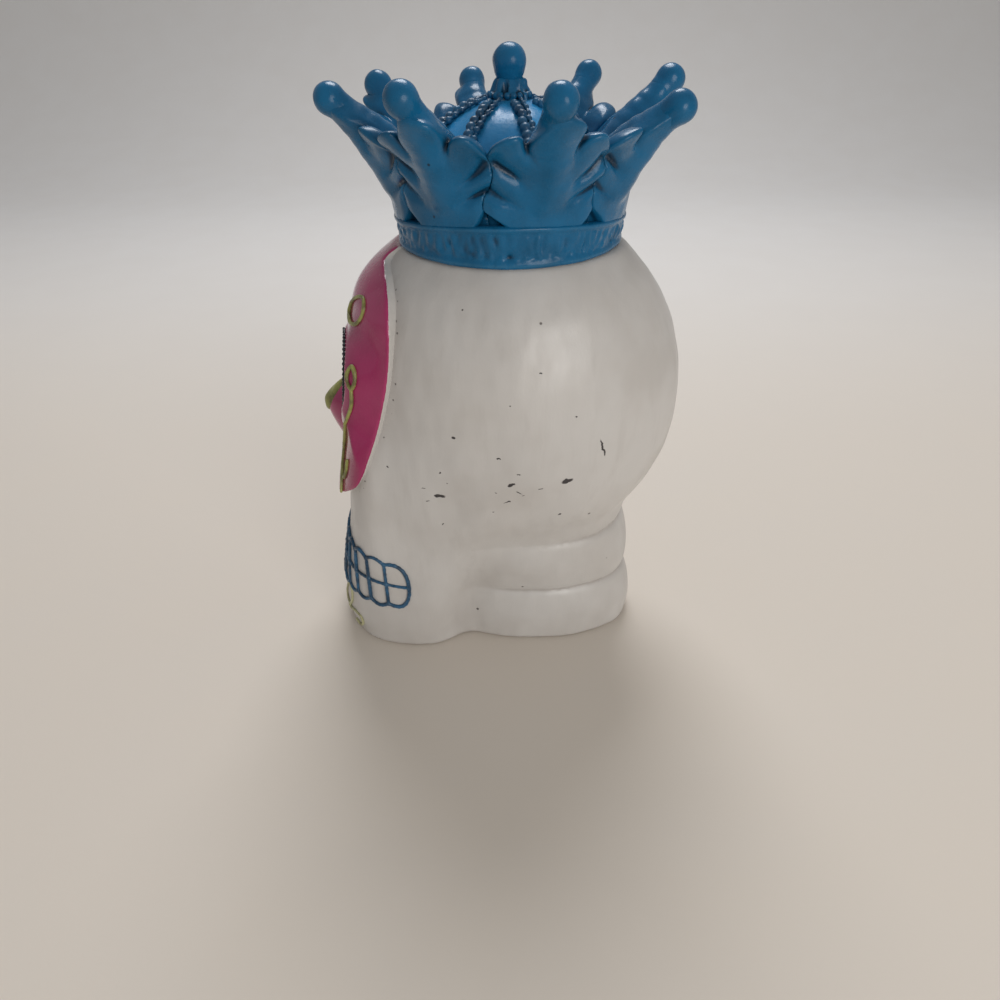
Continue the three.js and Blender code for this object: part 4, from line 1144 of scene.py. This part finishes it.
def leaf_radius(height):
    end = LEAF_ROWS[-1]
    slope = (end[1] - LEAF_ROWS[-2][1]) / (end[0] - LEAF_ROWS[-2][0])
    return along(LEAF_ROWS, height, 1) + slope * np.maximum(height - end[0], 0)


def on_leaf(angle, height):
    """A place on the unrolled leaf from an angle in degrees and a height"""
    return math.radians(angle) * leaf_radius(height), height


def leaf_relief(arc, height, gap, foot):
    """How deep the slits, the seam, the pit and the notch between two leaves are cut"""
    pit_height, pit_depth, pit_half = PIT
    relief = SEAM_DEPTH * np.exp(-(gap / SEAM_HALF_WIDTH) ** 2)
    pit = pit_depth * np.exp(-(gap ** 2 + (height - pit_height) ** 2) / pit_half ** 2)
    relief = np.maximum(relief, pit)
    for outer, inner, depth, half in SLIT_ROWS:
        t, away = by_line((arc, height), on_leaf(*outer), on_leaf(*inner))
        fade = (1 - t) ** 0.6
        cut = depth * fade * np.exp(-np.abs(away / (half * (0.45 + 0.55 * fade))) ** 1.4)
        pillow = 0.3 * fade * np.exp(-(away / 2.2) ** 2)
        relief = np.maximum(relief, cut + pillow)
    depth, high, wide = NOTCH
    inside = (1 - (height - foot) / high - gap / wide) * high * wide / math.hypot(high, wide)
    return np.maximum(relief, depth * smoothstep(inside, -0.4, 0.7))


def pearl_at(reach, lift, swing):
    r = PEARL_RING_RADIUS + reach
    turn = math.radians(swing)
    return np.array([r * math.cos(turn), r * math.sin(turn), BAND_TOP_Z + PEARL_HEIGHT + lift])


def arm_joint(height):
    return np.array([leaf_radius(height) - ARM_SINK, 0, LEAF_Z + height])


def arm_field(pearl):
    root = arm_joint(ARM_ROOT_HEIGHT)
    knee = arm_joint(ARM_KNEE_HEIGHT)
    steps = 8
    t = np.linspace(0, 1, steps)[:, None]
    path = (1 - t) ** 2 * root + 2 * t * (1 - t) * knee + t ** 2 * pearl
    share = t[:, 0]
    radii = ARM_ROOT_RADIUS + (ARM_TIP_RADIUS - ARM_ROOT_RADIUS) * share ** ARM_TAPER
    radii = radii + 0.35 * (1 - smoothstep(share, 0.5, 0.66))

    def field(*place):
        body = round_cone(place, path[0], path[1], radii[0], radii[1])
        for i in range(1, steps - 1):
            body = blend(body, round_cone(place, path[i], path[i + 1], radii[i], radii[i + 1]), 0.3)
        return body

    return field


def leaf_frame(k, x, y, z):
    """Place on the unrolled leaf k, and how far outside its skin and inside its seam"""
    height = z - LEAF_Z
    radius = leaf_radius(height)
    slant = leaf_radius(height + 0.5) - leaf_radius(height - 0.5)
    depth = (np.hypot(x, y) - radius) / np.sqrt(1 + slant ** 2)
    angle = np.arctan2(y, x) - SEAM_WOBBLE * np.sin(0.6 * height + 0.8)
    lean = np.where(angle > 0, SEAM_LEANS[(k + 1) % POINTS], -SEAM_LEANS[k])
    lean = np.radians(lean) * (1 - np.clip(height / SEAM_LEAN_TOP, 0, 1))
    half = math.pi / POINTS
    arc = np.abs(angle) * radius * half / (half + lean)
    return arc, height, depth, half * radius - arc


def leaf_foot(x, y, turn):
    """How high the band lifts the foot of a leaf that stands at a given turn"""
    return BAND_RISE * band_rise(np.arctan2(y, x) + turn)


def leaf_field(k, pearl, turn):
    arm = arm_field(pearl)
    root, tip, *halves = FINGER

    def field(x, y, z):
        arc, height, depth, gap = leaf_frame(k, x, y, z)
        foot = leaf_foot(x, y, turn)
        finger = round_cone((arc, height), on_leaf(*root), on_leaf(*tip), *halves)
        stem = round_cone((arc, height), (0, 0), (0, STEM_TOP), STEM_HALF_WIDTH, STEM_HALF_WIDTH)
        outline = np.minimum(blend(height - LEAF_WALL_HEIGHT, finger, 0.3), stem)
        rise = STEM_RISE * np.exp(-(arc / STEM_HALF_WIDTH) ** 2) * smoothstep(height, 3, 15)
        plate = np.maximum(depth - rise + leaf_relief(arc, height, gap, foot), -depth - LEAF_WALL)
        body = blend(keep(plate, outline, 1.4), arm(x, y, z), 1.6)
        body = body + 0.06 * waves(x, y, z, 5, 71)
        return keep(np.maximum(body, 0.02 - gap), foot - LEAF_SUNK - height, 0.3)

    return field


def leaf_turn(k):
    return -math.pi / 2 + (k + 0.5) / POINTS * 2 * math.pi


def build_leaves(blue):
    for k, row in enumerate(POINT_ROWS):
        label = str(k + 1)
        turn = leaf_turn(k)
        pearl = pearl_at(*row)
        field = leaf_field(k, pearl, turn)
        inner, half, margin = LEAF_BOX
        low = (inner, -half, LEAF_Z - 1)
        high = (pearl[0] + margin, half, pearl[2] + margin)
        points, quads, way = sculpt(field, low, high, LEAF_CELL)
        arc, height, depth, gap = leaf_frame(k, *points.T)
        foot = leaf_foot(*points.T[:2], turn)
        # Painted shade in the hollows and in the cut slits, seams, pits and notches
        cut = leaf_relief(arc, height, gap, foot) * smoothstep(depth, -3.0, -2.4)
        marks = shade_and_wear_marks(points, way, field, hollow_reach=1.6, edge_share=0.7, edge_reach=0.9)
        marks["hollow"] = np.clip(0.45 * marks["hollow"] + 0.5 * smoothstep(cut, 0.5, 1.5), 0, 1)
        name = "crown_leaf_" + label
        make_piece("leaf_" + label, turned(points, turn), quads, [name], blue, marks)
        make_ball("pearl_" + label, pearl_field(pearl), pearl, turn, "crown_pearl_" + label, blue)


def make_ball(name, field, centre, turn, node, blue):
    points, quads, way = sculpt(field, centre - BALL_REACH, centre + BALL_REACH, BALL_CELL)
    marks = shade_and_wear_marks(points, way, field, hollow_reach=1.0, edge_share=0.2, edge_reach=0.9)
    make_piece(name, turned(points, turn), quads, [node], blue, marks)


def pearl_field(pearl):
    arm = arm_field(pearl)

    def field(x, y, z):
        away = norm(apart((x, y, z), pearl))
        ball = away - PEARL_RADIUS + 0.05 * waves(x, y, z, 4, 81)
        return keep(blend(ball, arm(x, y, z), 1.3) - PEARL_PROUD, away - PEARL_REACH, 0.6)

    return field


def build_cap(blue):
    angles = ring_angles(CAP_SIDES)
    foot = math.asin((BAND_TOP_Z + FIT - CAP_CENTRE_Z) / CAP_RADIUS)
    top = math.acos(COLLAR_RADIUS / 2 / CAP_RADIUS)
    rise = np.linspace(foot, top, CAP_STEPS)[:, None]
    panel = np.abs(np.sin(POINTS / 2 * (angles - math.pi / POINTS + math.pi / 2))) ** 0.5
    fade = smoothstep(CAP_RADIUS * np.cos(rise), COLLAR_RADIUS, 2 * COLLAR_RADIUS)
    radius = (CAP_RADIUS - CAP_PANEL_DISH * panel * fade) * np.cos(rise)
    height = CAP_CENTRE_Z + CAP_RADIUS * np.sin(rise) + 0 * angles
    radius = np.concatenate([[0 * angles + BAND_INNER_RADIUS - FIT], radius])
    height = np.concatenate([[0 * angles + BAND_Z + CAP_FOOT_LIFT], height])
    points, faces = ring_surface(radius, height)
    ends = [len(points), len(points) + 1]
    first = np.arange(CAP_SIDES)
    last = first + len(points) - CAP_SIDES
    points = np.concatenate([points, [[0, 0, height[0, 0]], [0, 0, height[-1, 0]]]])
    faces = faces.tolist()
    for here, there in zip(first, np.roll(first, -1)):
        faces.append((ends[0], there, here))
        faces.append((ends[1], last[here], last[there]))
    plain = np.zeros(len(points))
    make_piece("cap", points, faces, ["crown_cap"], blue, {"hollow": plain, "edge": plain})


def build_arches(blue):
    head_angle = math.acos((COLLAR_RADIUS + FIT + ARCH_BEAD) / CAP_RADIUS)
    r = CAP_RADIUS + FIT + ARCH_LIFT
    lines = []
    for row in (-1, 1):
        rise = np.linspace(ARCH_FOOT_ANGLE, head_angle, ARCH_BEADS)
        rise = rise + ARCH_STAGGER * row * (rise[1] - rise[0])
        beside = np.full(ARCH_BEADS, row * ARCH_HALF_WIDTH)
        spots = np.stack([r * np.cos(rise), beside, CAP_CENTRE_Z + r * np.sin(rise)], axis=1)
        spots = spots + np.random.default_rng(93 + row).normal(0, ARCH_JITTER, spots.shape)
        lines.append((spots, np.full(ARCH_BEADS, ARCH_STRING_RADIUS)))
        lines.extend(beads(spots, hand_radii(ARCH_BEADS, ARCH_BEAD, 91 + row, spread=0.45)))
    points, quads = strand_quads(lines, *ARCH_GRID)
    for k in range(POINTS):
        name = "crown_arch_" + str(k + 1)
        spots = turned(points, leaf_turn(k))
        make_piece("arch_" + str(k + 1), spots, quads, [name], blue)


def build_collar(blue):
    def field(x, y, z):
        r = np.hypot(x, y)
        share = np.clip((z - COLLAR_SEAT_Z) / COLLAR_HEIGHT, -0.4, 1)
        wide = COLLAR_CONE_RADIUS + (COLLAR_TOP_RADIUS - COLLAR_CONE_RADIUS) * share
        petals = PETAL_DEPTH * np.cos(COLLAR_PETALS * np.arctan2(y, x) + PETAL_TWIST * z)
        petals = petals + 0.22 * waves(x, y, z, 2.6, 96)
        body = keep(0.9 * (r - wide) + petals, z - COLLAR_TOP_Z, 1.0)
        pitch = 2 * math.pi / COLLAR_BEADS
        ring = COLLAR_RADIUS - COLLAR_BEAD
        near = np.abs((np.arctan2(y, x) + pitch / 2) % pitch - pitch / 2) * ring
        bead = norm((near, r - ring, z - COLLAR_SEAT_Z - 0.1)) - COLLAR_BEAD
        body = blend(body, bead, 0.15)
        return np.maximum(body, CAP_RADIUS - 0.4 - norm((r, z - CAP_CENTRE_Z)))

    low = (-7, -7, COLLAR_SEAT_Z - 2)
    high = (7, 7, COLLAR_TOP_Z + 1)
    points, quads, way = sculpt(field, low, high, COLLAR_CELL)
    marks = shade_and_wear_marks(points, way, field, hollow_reach=0.8, edge_share=1, edge_reach=0.6)
    make_piece("collar", points, quads, ["finial_collar"], blue, marks)


def build_finial(blue):
    def field(x, y, z):
        away = norm((x, y, z - FINIAL_Z)) - FINIAL_RADIUS + 0.05 * waves(x, y, z, 4, 95)
        foot = np.maximum(np.hypot(x, y) - FINIAL_SEAT_RADIUS, np.abs(z - COLLAR_TOP_Z) - 0.4)
        return blend(away, foot, 1.3)

    make_ball("finial", field, np.array([0, 0, FINIAL_Z]), 0, "finial_pearl", blue)


# Studio
def build_floor():
    f = Finish("floor_paper", FLOOR_NEAR_DIM)
    # Painted light: dimmer floor near the object, lighter floor and wall behind it
    f.lay(FLOOR_FAR_LIT, f.span(f.mark("far"), 0.0, 1.0))
    f.lay(FLOOR_GRAIN, f.span(f.noise(30, 4, 0.5), 0.2, 0.8, 0.0, 0.15))
    f.done(0.8, f.bump(f.noise(900, 2), 0.1, 0.2))
    rows = [(run, 0.0) for run in FLOOR_RUNS]
    end = FLOOR_RUNS[-1]
    for a in math.pi / 2 * np.arange(1, BEND_STEPS + 1) / BEND_STEPS:
        rows.append((end - FLOOR_BEND * math.sin(a), FLOOR_BEND * (1 - math.cos(a))))
    rows.append((end - FLOOR_BEND, WALL_TOP))
    ahead = unit(CAMERA_HEADING)
    across = np.array([-ahead[1], ahead[0], 0])
    sides = (-FLOOR_HALF_WIDTH, FLOOR_HALF_WIDTH)
    points = [side * across - run * ahead + (0, 0, z) for run, z in rows for side in sides]
    faces = [(2 * i, 2 * i + 1, 2 * i + 3, 2 * i + 2) for i in range(len(rows) - 1)]
    far = np.repeat([smoothstep(-run, *FLOOR_FADE) for run, _ in rows], len(sides))
    floor = make_object("floor", points, faces, f.material, {"far": far})


def build_lights():
    world = bpy.data.worlds.new("studio")
    world.use_nodes = True
    sky = world.node_tree.nodes["Background"]
    sky.inputs["Color"].default_value = SKY_COLOUR
    sky.inputs["Strength"].default_value = SKY_STRENGTH
    bpy.context.scene.world = world
    for name, place, size, power, colour in LAMP_ROWS:
        light = bpy.data.lights.new(name, "AREA")
        light.shape = "DISK"
        light.size = size
        light.energy = power
        light.color = colour
        lamp = bpy.data.objects.new(name, light)
        lamp.location = place
        lamp.rotation_euler = (Vector(LIT_PLACE) - Vector(place)).to_track_quat("-Z", "Y").to_euler()
        bpy.context.scene.collection.objects.link(lamp)


def build_camera():
    right, above, ahead = camera_axes()
    lens = bpy.data.cameras.new("photo_view")
    lens.sensor_width = SENSOR
    lens.lens = FOCAL_PIXELS * SENSOR / IMAGE_SIZE
    lens.clip_start = 0.01
    camera = bpy.data.objects.new("photo_view", lens)
    turn = Matrix(np.stack([right, above, -ahead], axis=1).tolist()).to_4x4()
    camera.matrix_world = Matrix.Translation(Vector(CAMERA_AT) * METRES) @ turn
    bpy.context.scene.collection.objects.link(camera)
    bpy.context.scene.camera = camera


build_camera()
build_floor()
build_lights()
crown_blue = blue_enamel("blue_enamel", *CROWN_BLUES)
magenta = magenta_enamel()
green = piping("green_piping", *GREENS)
build_skull()
build_mask(magenta)
build_nose(magenta, green)
build_eyes(piping("navy_beads", *NAVIES))
build_scrolls(green, piping("pale_green_piping", *PALE_GREENS))
build_teeth(piping("teal_piping", *TEALS))
build_band(crown_blue)
build_leaves(crown_blue)
build_cap(blue_enamel("blue_panels_with_top_light", *PANEL_BLUES_WITH_TOP_LIGHT))
build_arches(piping("blue_beads", *BEAD_BLUES))
build_collar(crown_blue)
build_finial(crown_blue)

bpy.context.scene.view_settings.view_transform = "Standard"
